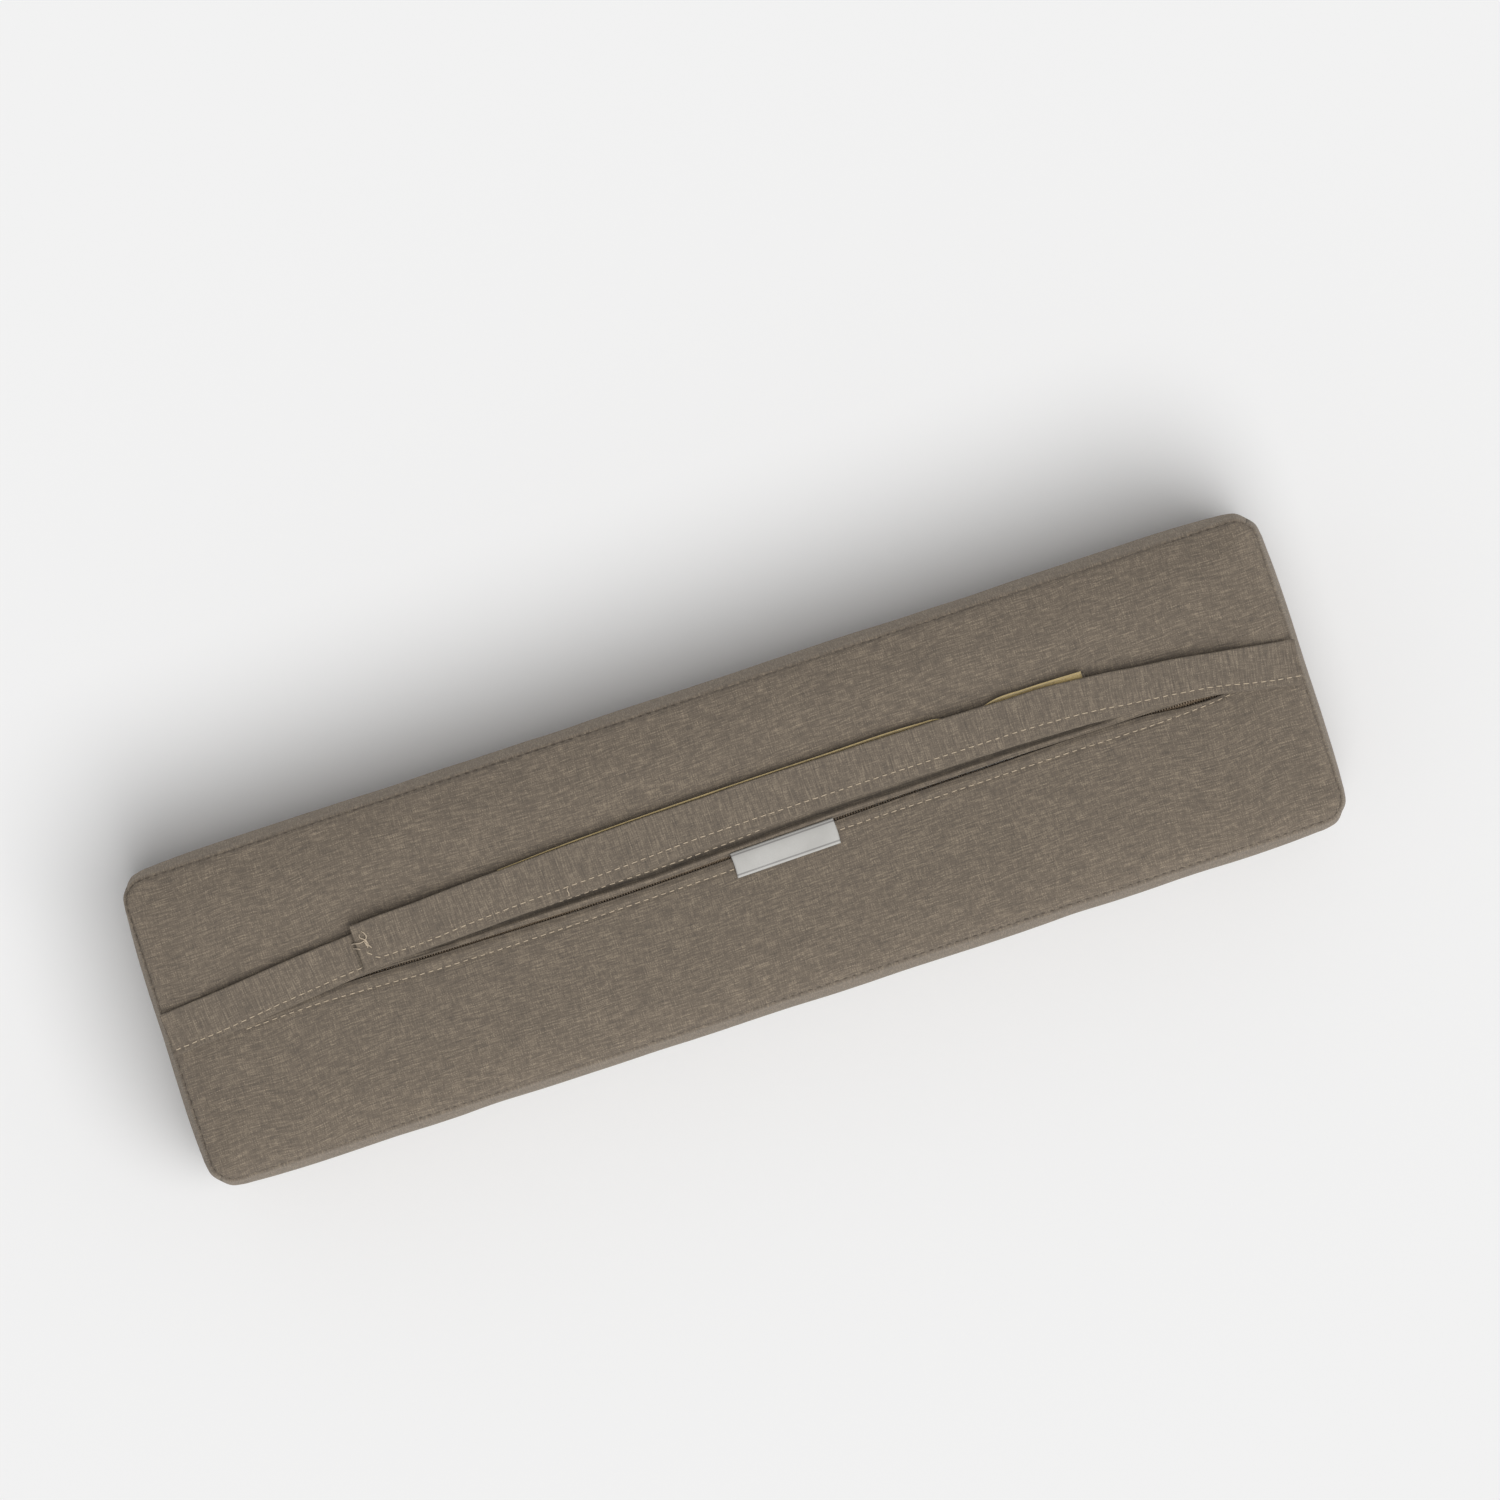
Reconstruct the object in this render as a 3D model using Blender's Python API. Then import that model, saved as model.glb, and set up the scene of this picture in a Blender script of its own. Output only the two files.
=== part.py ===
"""Box-edged bolster pillow with a zipped back and two hook-and-loop straps.

The pillow lies on its front panel. X runs along the pillow, Y across it, and Z up through the
back panel, which holds the zip and the straps. The origin is under the middle of the pillow.
Sizes are in metres.
"""
import math

import bmesh
import bpy
from mathutils import Matrix, Vector

MM = 0.001

# The pillow
LENGTH = 559 * MM             # over the bulge of the end panels
WIDTH = 158 * MM              # over the bulge of the boxing
THICKNESS = 100 * MM          # floor to the flat of the back panel
END_BULGE = 4.5 * MM          # how far an end panel stands out past its seams
SIDE_BULGE = 6 * MM           # the same for the boxing
CORNER = 11 * MM              # plan radius of the seam line at each corner
FABRIC = 1.5 * MM             # cover fabric with its seam allowance
GAP = 0.3 * MM                # between pieces that touch
FRONT_RISE = 6 * MM           # floor to the front seam
BACK_DROP = 6 * MM            # flat of the back panel down to the back seam
ROLL = 25 * MM                # how far in from a seam a panel goes flat

# The filling
WRAP = 9 * MM                 # fibre wrap
CORE_INSET = 12 * MM          # foam core, shorter than the wrap at each end

# The zip
ZIP_Y = -2.4 * MM             # middle of the zip, across the pillow
ZIP_TURN = math.radians(0.35)  # the zip is sewn in a little off square
ZIP_LENGTH = 478 * MM
COIL_WIDTH = 1.95 * MM        # one side of the chain
COIL_HEIGHT = 2.2 * MM
TAPE_WIDTH = 12.5 * MM
TAPE_THICK = 0.6 * MM
TAPE_TAIL = 8 * MM            # tape past each end of the chain
STOP_LENGTH = 2.2 * MM

# The slider
SLIDER_LENGTH = 9 * MM
SLIDER_PLATE = 0.9 * MM
SLIDER_FLANGE = 0.8 * MM      # thickness and depth of each flange
SLIDER_AT = 9 * MM            # slider's middle from the chain's left end
BRIDGE_WIDTH = 1.6 * MM
BRIDGE_POST = 1.2 * MM
BRIDGE_LENGTH = 6.6 * MM
BRIDGE_BAR = 0.8 * MM
PULL_LENGTH = 20 * MM
PULL_WIDTH = 4.8 * MM
PULL_THICK = 1 * MM
PULL_RIM = 1.4 * MM           # metal round the pull's eye
PULL_PLAY = 0.5 * MM          # between the pull and the bridge's bar

# The straps
STRAP_THICK = 1.6 * MM
STRAP_TAPE = 1 * MM           # hook tape or loop tape
STRAP_ROOT_IN = 0.4 * MM      # root of a strap in from the end seam, and over the panel
STRAP_LENGTH = 453.6 * MM
STRAP_REST = 0.5 * MM         # left strap over the flat of the back panel
STRAP_CLEAR = 0.4 * MM        # left strap over the slider's bridge
LEFT_WIDTH = 20 * MM
RIGHT_WIDTH = 22 * MM
HOLD_WIDTH = 19.4 * MM        # hook tape and loop tape
TAPE_RUN = 287 * MM           # length of the hook tape and of the loop tape
TAPE_TIP = 1 * MM             # tape in from the strap's free end
# Each strap's middle line in plan: (distance from its root, Y)
LEFT_LINE = ((0, 0), (35, 3), (95, 8.5), (175, 14), (275, 17.6), (365, 18.2), (453, 17.8))
RIGHT_LINE = ((0, 1.2), (38, 7.5), (95, 14.5), (175, 17), (275, 16.8), (375, 14), (455, 11))
ARCH = 125 * MM               # how far from its root the left strap stays arched over the slider
ARCH_END = 28 * MM            # over what length it then comes down
CLIMB = {"left": 20 * MM, "right": 30 * MM}  # over what length each strap climbs from its root

# The label
LABEL_LENGTH = 50 * MM
LABEL_WIDTH = 11.5 * MM
LABEL_THICK = 0.5 * MM
LABEL_AT = 23 * MM            # X of the label's middle

HALF_X = LENGTH / 2 - END_BULGE   # the seam line's half sizes
HALF_Y = WIDTH / 2 - SIDE_BULGE
BACK_SEAM_Z = THICKNESS - BACK_DROP
SLIDER_TOP = THICKNESS - FABRIC - GAP                  # the plate runs under the folded edges
CHAIN_Z = SLIDER_TOP - SLIDER_PLATE - GAP - COIL_HEIGHT / 2
PULL_Z = THICKNESS + GAP                               # the pull lies on the back panel
BRIDGE_TOP = PULL_Z + PULL_THICK + PULL_PLAY + BRIDGE_BAR
STRAP_HIGH = BRIDGE_TOP + STRAP_CLEAR - THICKNESS  # strap over the panel where the slider passes
SLIDER_X = -ZIP_LENGTH / 2 + SLIDER_AT
SLIDER_WIDTH = 2 * (COIL_WIDTH + SLIDER_FLANGE) + 3 * GAP  # a gap down the middle and at each flange
SLOT = BRIDGE_WIDTH + 2 * GAP                          # between the two folded edges
ROOT_X = HALF_X - STRAP_ROOT_IN
LEFT_TIP = STRAP_LENGTH - ROOT_X                       # X of each strap's free end
RIGHT_TIP = ROOT_X - STRAP_LENGTH
ZIP_REACH = ZIP_LENGTH / 2 + STOP_LENGTH + 4 * GAP    # half the opening, chain and stops


def clear_scene():
    for item in list(bpy.data.objects):
        bpy.data.objects.remove(item, do_unlink=True)


def material(name, colour, roughness, metallic=0.0):
    made = bpy.data.materials.get(name)
    if made:
        return made
    made = bpy.data.materials.new(name)
    made.use_nodes = True
    shader = made.node_tree.nodes["Principled BSDF"]
    shader.inputs["Base Color"].default_value = (*colour, 1)
    shader.inputs["Roughness"].default_value = roughness
    shader.inputs["Metallic"].default_value = metallic
    return made


def cover():
    return material("cover_fabric", (0.19, 0.155, 0.12), 0.9)


def place(name, mesh_maker, look):
    """Links one solid, with its faces turned outwards."""
    bm = bmesh.new()
    mesh_maker(bm)
    bmesh.ops.remove_doubles(bm, verts=bm.verts, dist=1e-6)
    bmesh.ops.recalc_face_normals(bm, faces=bm.faces)
    mesh = bpy.data.meshes.new(name)
    bm.to_mesh(mesh)
    bm.free()
    mesh.shade_smooth()
    mesh.set_sharp_from_angle(angle=math.radians(35))
    mesh.materials.append(look)
    item = bpy.data.objects.new(name, mesh)
    bpy.context.scene.collection.objects.link(item)
    return item


def skin(bm, inner, outer):
    """A closed solid between two grids of points of the same size."""
    rows, columns = len(inner), len(inner[0])
    low = [[bm.verts.new(p) for p in row] for row in inner]
    high = [[bm.verts.new(p) for p in row] for row in outer]
    for i in range(rows - 1):
        for j in range(columns - 1):
            bm.faces.new((low[i][j], low[i][j + 1], low[i + 1][j + 1], low[i + 1][j]))
            bm.faces.new((high[i][j], high[i + 1][j], high[i + 1][j + 1], high[i][j + 1]))
    rim = [(i, 0) for i in range(rows)] + [(rows - 1, j) for j in range(1, columns)]
    rim += [(i, columns - 1) for i in range(rows - 2, -1, -1)] + [(0, j) for j in range(columns - 2, 0, -1)]
    for (a, b), (c, d) in zip(rim, rim[1:] + rim[:1]):
        bm.faces.new((low[a][b], low[c][d], high[c][d], high[a][b]))


def box(bm, x, y, z):
    """A box from its (low, high) pair on each axis."""
    made = bmesh.ops.create_cube(bm, size=1)
    middle = Vector([(lo + hi) / 2 for lo, hi in (x, y, z)])
    size = [hi - lo for lo, hi in (x, y, z)]
    matrix = Matrix.Translation(middle) @ Matrix.Diagonal((*size, 1))
    bmesh.ops.transform(bm, matrix=matrix, verts=made["verts"])
    return made


def spread(start, end, steps):
    return [start + (end - start) * k / steps for k in range(steps + 1)]


def ease(t):
    t = min(max(t, 0.0), 1.0)
    return t * t * (3 - 2 * t)


# ---------------------------------------------------------------- cover


def half_width(x, inset=0.0):
    """Half the seam line's width at x, less an inset."""
    corner = CORNER - inset
    past = abs(x) - (HALF_X - CORNER)
    if past <= 0:
        return HALF_Y - inset
    return HALF_Y - CORNER + math.sqrt(max(corner * corner - past * past, 0))


def edge_distance(x, y):
    """How far a point lies in from the seam line."""
    px, py = abs(x) - (HALF_X - CORNER), abs(y) - (HALF_Y - CORNER)
    if px > 0 and py > 0:
        return CORNER - math.hypot(px, py)
    return CORNER - max(px, py)


def fall(x, y, drop):
    """How far a panel has dropped from its flat middle at a point."""
    short = 1 - min(max(edge_distance(x, y), 0) / ROLL, 1)
    return drop * short * short


ROLL_STEPS = (ROLL, 17 * MM, 9 * MM, 3.5 * MM)   # stations across a panel's roll, in from the seam


def panel_columns():
    """X stations: close in the corners and on the roll, wide on the flat."""
    corner = [CORNER * math.sin(math.radians(a)) for a in (90, 66, 42, 20)]
    ends = [HALF_X - CORNER + c for c in corner] + [HALF_X - CORNER, HALF_X - 17 * MM, HALF_X - ROLL]
    return [-x for x in ends] + [x for x in reversed(ends)]


def slot_edge(x, side):
    """Y of a back panel's inner edge: folded back along the zip, closed past its ends."""
    open_by = SLOT / 2 if abs(x) <= ZIP_REACH else GAP / 2
    return ZIP_Y + x * math.tan(ZIP_TURN) + side * open_by


def back_point(x, y, top):
    z = THICKNESS - fall(x, y, BACK_DROP - FABRIC - GAP / 2)
    return Vector((x, y, z if top else z - FABRIC))


def back_panel(side):
    ends = [-ZIP_REACH - MM, -ZIP_REACH, ZIP_REACH, ZIP_REACH + MM]
    stations = sorted(panel_columns() + ends)

    def make(bm):
        grids = []
        for top in (False, True):
            grid = []
            for x in stations:
                inner, outer = slot_edge(x, side), side * half_width(x)
                rolled = [side * max(half_width(x) - d, abs(inner) + 2 * MM) for d in ROLL_STEPS]
                grid.append([back_point(x, y, top) for y in [inner, *rolled, outer]])
            grids.append(grid)
        skin(bm, *grids)

    return make


def front_point(x, y, outside):
    z = fall(x, y, FRONT_RISE - FABRIC - GAP / 2)
    return Vector((x, y, z if outside else z + FABRIC))


def front_panel(bm):
    grids = []
    for outside in (True, False):
        grid = []
        for x in panel_columns():
            edge = half_width(x)
            ys = [edge] + [edge - d for d in reversed(ROLL_STEPS)]
            grid.append([front_point(x, y, outside) for y in [-y for y in ys] + ys[::-1]])
        grids.append(grid)
    skin(bm, *grids)


def wall_point(path_x, path_y, out_x, out_y, bulge, height, inset):
    """A point of an edge strip: height runs 0 to 1 from the front seam to the back seam."""
    out = bulge * (1 - abs(2 * height - 1) ** 2.4) - inset
    z = FRONT_RISE + GAP / 2 + (BACK_SEAM_Z - FRONT_RISE - GAP) * height
    return Vector((path_x + out_x * out, path_y + out_y * out, z))


def edge_strip(long_side, side):
    """A boxing strip or an end panel: a straight run with half of a rounded corner at each end."""
    half = (HALF_X if long_side else HALF_Y) - CORNER
    away = (HALF_Y if long_side else HALF_X) - CORNER
    turns = [math.radians(a) for a in (44.2, 30, 15)]
    stops = [(-half, -t) for t in turns] + [(s, 0.0) for s in spread(-half, half, 8 if long_side else 4)]
    stops += [(half, t) for t in reversed(turns)]

    def make(bm):
        grids = []
        for inset in (0.0, FABRIC):
            grid = []
            for along, turn in stops:
                # the bulge eases from the strip's own to the mean of both at the corner seam
                own, other = (SIDE_BULGE, END_BULGE) if long_side else (END_BULGE, SIDE_BULGE)
                bulge = own + (other - own) / 2 * abs(turn) / math.radians(45)
                a, b = along + CORNER * math.sin(turn), away + CORNER * math.cos(turn)
                oa, ob = math.sin(turn), math.cos(turn)
                row = []
                for h in spread(0, 1, 8):
                    x, y, ox, oy = (a, b, oa, ob) if long_side else (b, a, ob, oa)
                    p = wall_point(x, y, ox, oy, bulge, h, inset)
                    row.append(Vector((p.x, p.y * side, p.z) if long_side else (p.x * side, p.y, p.z)))
                grid.append(row)
            grids.append(grid)
        skin(bm, *grids)

    return make


def make_cover():
    place("back_panel_upper", back_panel(1), cover())
    place("back_panel_lower", back_panel(-1), cover())
    place("front_panel", front_panel, cover())
    place("boxing_upper", edge_strip(True, 1), cover())
    place("boxing_lower", edge_strip(True, -1), cover())
    place("end_panel_right", edge_strip(False, 1), cover())
    place("end_panel_left", edge_strip(False, -1), cover())


# ---------------------------------------------------------------- filling


def ring(half_y, low, high, corner, steps=4):
    """A rounded rectangle in the YZ plane, as (y, z) points."""
    points = []
    for cy, cz, start in ((1, 1, 0), (-1, 1, 90), (-1, -1, 180), (1, -1, 270)):
        centre_y = cy * (half_y - corner)
        centre_z = high - corner if cz > 0 else low + corner
        for k in range(steps + 1):
            a = math.radians(start + 90 * k / steps)
            points.append((centre_y + corner * math.cos(a), centre_z + corner * math.sin(a)))
    return points


FILL_LOW = FABRIC + GAP
FILL_HIGH = CHAIN_Z - COIL_HEIGHT / 2 - GAP
FILL_HALF_Y = HALF_Y - FABRIC - GAP
FILL_HALF_X = HALF_X - FABRIC - GAP


def fill_rings(bm, inset, reach):
    """Four rings along X that follow the cover: full size on the flat, drawn in at the ends."""
    corner = ROLL - FABRIC - GAP - inset * 0.5
    rings = []
    for x in (-reach, -(HALF_X - ROLL), HALF_X - ROLL, reach):
        at_end = abs(x) == reach
        drawn, squeezed = (CORNER, max(BACK_DROP, FRONT_RISE) - FABRIC) if at_end else (0, 0)
        outline = ring(
            FILL_HALF_Y - inset - drawn, FILL_LOW + inset + squeezed, FILL_HIGH - inset - squeezed, corner
        )
        rings.append([bm.verts.new((x, y, z)) for y, z in outline])
    return rings


def fibre_wrap(bm):
    outer = fill_rings(bm, 0, FILL_HALF_X)
    inner = fill_rings(bm, WRAP, FILL_HALF_X)
    count = len(outer[0])
    for k in range(count):
        n = (k + 1) % count
        for a, b in zip(outer, outer[1:]):
            bm.faces.new((a[k], a[n], b[n], b[k]))
        for a, b in zip(inner, inner[1:]):
            bm.faces.new((a[k], b[k], b[n], a[n]))
        bm.faces.new((outer[0][k], inner[0][k], inner[0][n], outer[0][n]))
        bm.faces.new((outer[-1][k], outer[-1][n], inner[-1][n], inner[-1][k]))


def foam_core(bm):
    rings = fill_rings(bm, WRAP + GAP, FILL_HALF_X - CORE_INSET)
    for a, b in zip(rings, rings[1:]):
        for k in range(len(a)):
            n = (k + 1) % len(a)
            bm.faces.new((a[k], a[n], b[n], b[k]))
    bm.faces.new(rings[0])
    bm.faces.new(rings[-1])


def make_filling():
    place("fibre_wrap", fibre_wrap, material("fibre", (0.85, 0.85, 0.83), 0.95))
    place("foam_core", foam_core, material("foam", (0.86, 0.83, 0.7), 0.9))


# ---------------------------------------------------------------- zip


def on_zip(item, x=0.0):
    """Stands a piece, made round its own middle, at x along the zip's line."""
    item.location = (x * math.cos(ZIP_TURN), ZIP_Y + x * math.sin(ZIP_TURN), CHAIN_Z)
    item.rotation_euler = (0, 0, ZIP_TURN)
    return item


def coil(side):
    def make(bm):
        near, far = side * GAP / 2, side * (GAP / 2 + COIL_WIDTH)
        half = ZIP_LENGTH / 2
        edge = side * 0.5 * MM
        profile = ((near, -1), (near, 1), (far - edge, 1), (far, 0.5), (far, -0.5), (far - edge, -1))
        ends = [[bm.verts.new((x, y, z * COIL_HEIGHT / 2)) for y, z in profile] for x in (-half, half)]
        for k in range(len(profile)):
            n = (k + 1) % len(profile)
            bm.faces.new((ends[0][k], ends[0][n], ends[1][n], ends[1][k]))
        bm.faces.new(ends[0])
        bm.faces.new(ends[1])

    return make


def tape(side):
    def make(bm):
        near = side * (GAP * 1.5 + COIL_WIDTH)
        far = near + side * TAPE_WIDTH
        half = ZIP_LENGTH / 2 + TAPE_TAIL
        box(bm, (-half, half), tuple(sorted((near, far))), (-TAPE_THICK / 2, TAPE_THICK / 2))

    return make


def stop(bm):
    half_y = GAP / 2 + COIL_WIDTH
    box(bm, (-STOP_LENGTH / 2, STOP_LENGTH / 2), (-half_y, half_y), (-COIL_HEIGHT / 2, COIL_HEIGHT / 2))


def slider(bm):
    """Top plate with a flange down each side of the chain, as one section along X."""
    under = COIL_HEIGHT / 2 + GAP
    top = under + SLIDER_PLATE
    flange_low = under - SLIDER_FLANGE
    half_x, half_y = SLIDER_LENGTH / 2, SLIDER_WIDTH / 2
    inner = half_y - SLIDER_FLANGE
    section = (
        (-half_y, flange_low), (-inner, flange_low), (-inner, under), (inner, under),
        (inner, flange_low), (half_y, flange_low), (half_y, top), (-half_y, top),
    )
    ends = [[bm.verts.new((x, y, z)) for y, z in section] for x in (-half_x, half_x)]
    for k in range(len(section)):
        n = (k + 1) % len(section)
        bm.faces.new((ends[0][k], ends[0][n], ends[1][n], ends[1][k]))
    bm.faces.new(ends[0])
    bm.faces.new(ends[1])


def bridge(bm):
    top, bar = COIL_HEIGHT / 2 + GAP + SLIDER_PLATE, BRIDGE_TOP - CHAIN_Z
    half, width = BRIDGE_LENGTH / 2, BRIDGE_WIDTH / 2
    sunk = top - SLIDER_PLATE / 2
    outline = (
        (-half, sunk), (-half, bar - BRIDGE_BAR * 0.6), (-half + BRIDGE_BAR * 0.6, bar),
        (half - BRIDGE_BAR * 0.6, bar), (half, bar - BRIDGE_BAR * 0.6), (half, sunk),
        (half - BRIDGE_POST, sunk), (half - BRIDGE_POST, bar - BRIDGE_BAR),
        (-half + BRIDGE_POST, bar - BRIDGE_BAR), (-half + BRIDGE_POST, sunk),
    )
    sides = [[bm.verts.new((x, y, z)) for x, z in outline] for y in (-width, width)]
    for k in range(len(outline)):
        n = (k + 1) % len(outline)
        bm.faces.new((sides[0][k], sides[0][n], sides[1][n], sides[1][k]))
    bm.faces.new(sides[0])
    bm.faces.new(sides[1])


def pull(bm):
    """A flat tab with an eye round the bridge's left post, lying back along the zip."""
    low, high = PULL_Z - CHAIN_Z, PULL_Z - CHAIN_Z + PULL_THICK
    post = -BRIDGE_LENGTH / 2
    eye = (post - GAP, post + BRIDGE_POST + GAP)
    eye_half = BRIDGE_WIDTH / 2 + GAP
    half = PULL_WIDTH / 2
    head = eye[1] + PULL_RIM
    tail = head - PULL_LENGTH
    round_at = tail + half
    arc = [(round_at - half * math.sin(a), half * math.cos(a)) for a in spread(0, math.pi, 8)]
    outline = [(head, half), *arc, (head, -half)]
    hole = [(eye[1], eye_half), (eye[0], eye_half), (eye[0], -eye_half), (eye[1], -eye_half)]
    levels = []
    for z in (low, high):
        out = [bm.verts.new((x, y, z)) for x, y in outline]
        gap = [bm.verts.new((x, y, z)) for x, y in hole]
        edges = [bm.edges.new((a, b)) for loop in (out, gap) for a, b in zip(loop, loop[1:] + loop[:1])]
        bmesh.ops.triangle_fill(bm, use_beauty=True, edges=edges)
        levels.append((out, gap))
    for lower, upper in zip(*levels):
        for k in range(len(lower)):
            n = (k + 1) % len(lower)
            bm.faces.new((lower[k], lower[n], upper[n], upper[k]))


def join(item, other):
    """Adds another solid to an item with a Boolean union; the other is only a cutter."""
    other.hide_render = True
    other.display_type = "WIRE"
    union = item.modifiers.new("join", "BOOLEAN")
    union.operation = "UNION"
    union.object = other


def make_zip():
    zip_tape = material("zip_tape", (0.12, 0.095, 0.07), 0.85)
    zip_coil = material("zip_coil", (0.15, 0.115, 0.08), 0.45)
    metal = material("zip_metal", (0.32, 0.27, 0.21), 0.35, 0.9)
    for side, word in ((1, "upper"), (-1, "lower")):
        on_zip(place(f"zipper_coil_{word}", coil(side), zip_coil))
        on_zip(place(f"zipper_tape_{word}", tape(side), zip_tape))
    past = ZIP_LENGTH / 2 + GAP + STOP_LENGTH / 2
    on_zip(place("zipper_stop_left", stop, metal), -past)
    on_zip(place("zipper_stop_right", stop, metal), past)
    body = on_zip(place("zipper_slider", slider, metal), SLIDER_X)
    join(body, on_zip(place("zipper_bridge", bridge, metal), SLIDER_X))
    on_zip(place("zipper_pull", pull, metal), SLIDER_X)


# ---------------------------------------------------------------- straps


def smooth(line, x):
    """Value at x of a smooth curve through (x, value) points, by Catmull-Rom."""
    k = max([i for i in range(len(line) - 1) if line[i][0] <= x], default=0)
    p1, p2 = line[k], line[k + 1]
    p0 = line[k - 1] if k else (2 * p1[0] - p2[0], 2 * p1[1] - p2[1])
    p3 = line[k + 2] if k + 2 < len(line) else (2 * p2[0] - p1[0], 2 * p2[1] - p1[1])
    span = p2[0] - p1[0]
    t = min(max((x - p1[0]) / span, 0), 1)
    m1 = (p2[1] - p0[1]) / (p2[0] - p0[0]) * span
    m2 = (p3[1] - p1[1]) / (p3[0] - p1[0]) * span
    t2, t3 = t * t, t * t * t
    return (2 * t3 - 3 * t2 + 1) * p1[1] + (t3 - 2 * t2 + t) * m1 + (3 * t2 - 2 * t3) * p2[1] + (t3 - t2) * m2


def from_root(which, x):
    return ROOT_X + x if which == "left" else ROOT_X - x


def strap_y(which, x):
    return smooth(LEFT_LINE if which == "left" else RIGHT_LINE, from_root(which, x) / MM) * MM


def panel_top(x):
    return back_point(x, 0, True).z


def left_lie(x):
    """Left strap over the panel past its root: arched over the slider, then down on the panel."""
    return STRAP_HIGH + (STRAP_REST - STRAP_HIGH) * ease((from_root("left", x) - ARCH) / ARCH_END)


def climb(which, x, lie):
    """A strap's underside: it starts on the seam at its root and climbs to where it lies."""
    up = ease(from_root(which, x) / CLIMB[which])
    return panel_top(x) + STRAP_ROOT_IN + up * (lie - STRAP_ROOT_IN)


def left_under(x):
    return climb("left", x, left_lie(x))


LOOP_Z = STRAP_THICK + GAP
STACK = LOOP_Z + STRAP_TAPE + GAP + STRAP_TAPE + GAP  # left strap, loop tape, hook tape


def right_under(x):
    """Over the left strap and both tapes, and over the arch at its own free end."""
    return climb("right", x, max(STRAP_REST + STACK, left_lie(x) + LOOP_Z + STRAP_TAPE + GAP))


def hook_under(x):
    return right_under(x) - GAP - STRAP_TAPE


def loop_under(x):
    return left_under(x) + LOOP_Z


def band_stations(start, end):
    """X stations, closer where a strap climbs from its root or comes down off its arch."""
    stops = spread(start, end, 14)
    for side in (-1, 1):
        stops += [side * (ROOT_X - d * MM) for d in (3, 7, 12, 17, 24, 30)]
    stops += spread(ARCH - ROOT_X, ARCH + ARCH_END - ROOT_X, 5)
    close = 2.5 * MM
    kept = [start]
    for x in sorted(stops):
        if start < x < end - close and x - kept[-1] > close:
            kept.append(x)
    return kept + [end]


def band(which, start, end, width, under, thick):
    """A flat band that follows a strap's middle line between two X positions."""

    def make(bm):
        grids = []
        for lift in (0.0, thick):
            grid = []
            for x in band_stations(start, end):
                slope = (strap_y(which, x + MM) - strap_y(which, x - MM)) / (2 * MM)
                half = width / 2 * math.sqrt(1 + slope * slope)
                middle, z = strap_y(which, x), under(x) + lift
                grid.append([Vector((x, middle - half, z)), Vector((x, middle + half, z))])
            grids.append(grid)
        skin(bm, *grids)

    return make


def hinged(item, which):
    """Puts a strap's origin on the axis that it lifts about, at its sewn root."""
    x = -ROOT_X if which == "left" else ROOT_X
    axis = Vector((x, strap_y(which, x), panel_top(x) + STRAP_ROOT_IN + STRAP_THICK))
    item.data.transform(Matrix.Translation(-axis))
    item.location = axis


def make_straps():
    loop = material("loop_tape", (0.30, 0.25, 0.13), 0.95)
    hook = material("hook_tape", (0.27, 0.22, 0.11), 0.7)
    loop_end, hook_start = LEFT_TIP - TAPE_TIP, RIGHT_TIP + TAPE_TIP
    pieces = (
        ("left_strap", -ROOT_X, LEFT_TIP, LEFT_WIDTH, left_under, STRAP_THICK, cover()),
        ("right_strap", RIGHT_TIP, ROOT_X, RIGHT_WIDTH, right_under, STRAP_THICK, cover()),
        ("loop_tape", loop_end - TAPE_RUN, loop_end, HOLD_WIDTH, loop_under, STRAP_TAPE, loop),
        ("hook_tape", hook_start, hook_start + TAPE_RUN, HOLD_WIDTH, hook_under, STRAP_TAPE, hook),
    )
    for name, start, end, width, under, thick, look in pieces:
        which = "left" if name in ("left_strap", "loop_tape") else "right"
        hinged(place(name, band(which, start, end, width, under, thick), look), which)


# ---------------------------------------------------------------- label


def make_label():
    def make(bm):
        near = -(PULL_WIDTH / 2 + GAP)
        half = LABEL_LENGTH / 2
        box(bm, (-half, half), (near - LABEL_WIDTH, near), (0, LABEL_THICK))

    item = on_zip(place("label", make, material("label_satin", (0.72, 0.72, 0.70), 0.5)), LABEL_AT)
    item.location.z = THICKNESS + GAP


def main():
    clear_scene()
    make_cover()
    make_filling()
    make_zip()
    make_straps()
    make_label()
    bpy.context.view_layer.update()


main()
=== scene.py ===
"""Bolster pillow: a boxed fabric cover over foam, zipped at the back, with two straps."""

import math

import bmesh
import bpy
import numpy as np
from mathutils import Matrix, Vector
from mathutils.bvhtree import BVHTree


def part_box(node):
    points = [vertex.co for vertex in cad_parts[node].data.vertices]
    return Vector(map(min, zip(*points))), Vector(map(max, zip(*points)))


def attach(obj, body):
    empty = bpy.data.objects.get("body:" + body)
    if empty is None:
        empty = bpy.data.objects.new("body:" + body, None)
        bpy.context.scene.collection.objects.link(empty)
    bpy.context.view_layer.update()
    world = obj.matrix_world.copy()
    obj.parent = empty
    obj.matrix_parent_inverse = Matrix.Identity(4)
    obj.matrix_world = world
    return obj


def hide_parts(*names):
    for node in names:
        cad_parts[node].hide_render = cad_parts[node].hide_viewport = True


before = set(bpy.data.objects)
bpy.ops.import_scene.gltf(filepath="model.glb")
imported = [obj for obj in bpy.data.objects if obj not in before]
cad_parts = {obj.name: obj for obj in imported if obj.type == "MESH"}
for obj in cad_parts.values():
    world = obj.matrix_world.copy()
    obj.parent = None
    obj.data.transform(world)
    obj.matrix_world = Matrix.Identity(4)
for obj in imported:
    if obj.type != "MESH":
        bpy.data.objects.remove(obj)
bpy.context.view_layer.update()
MM = 0.001

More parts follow.
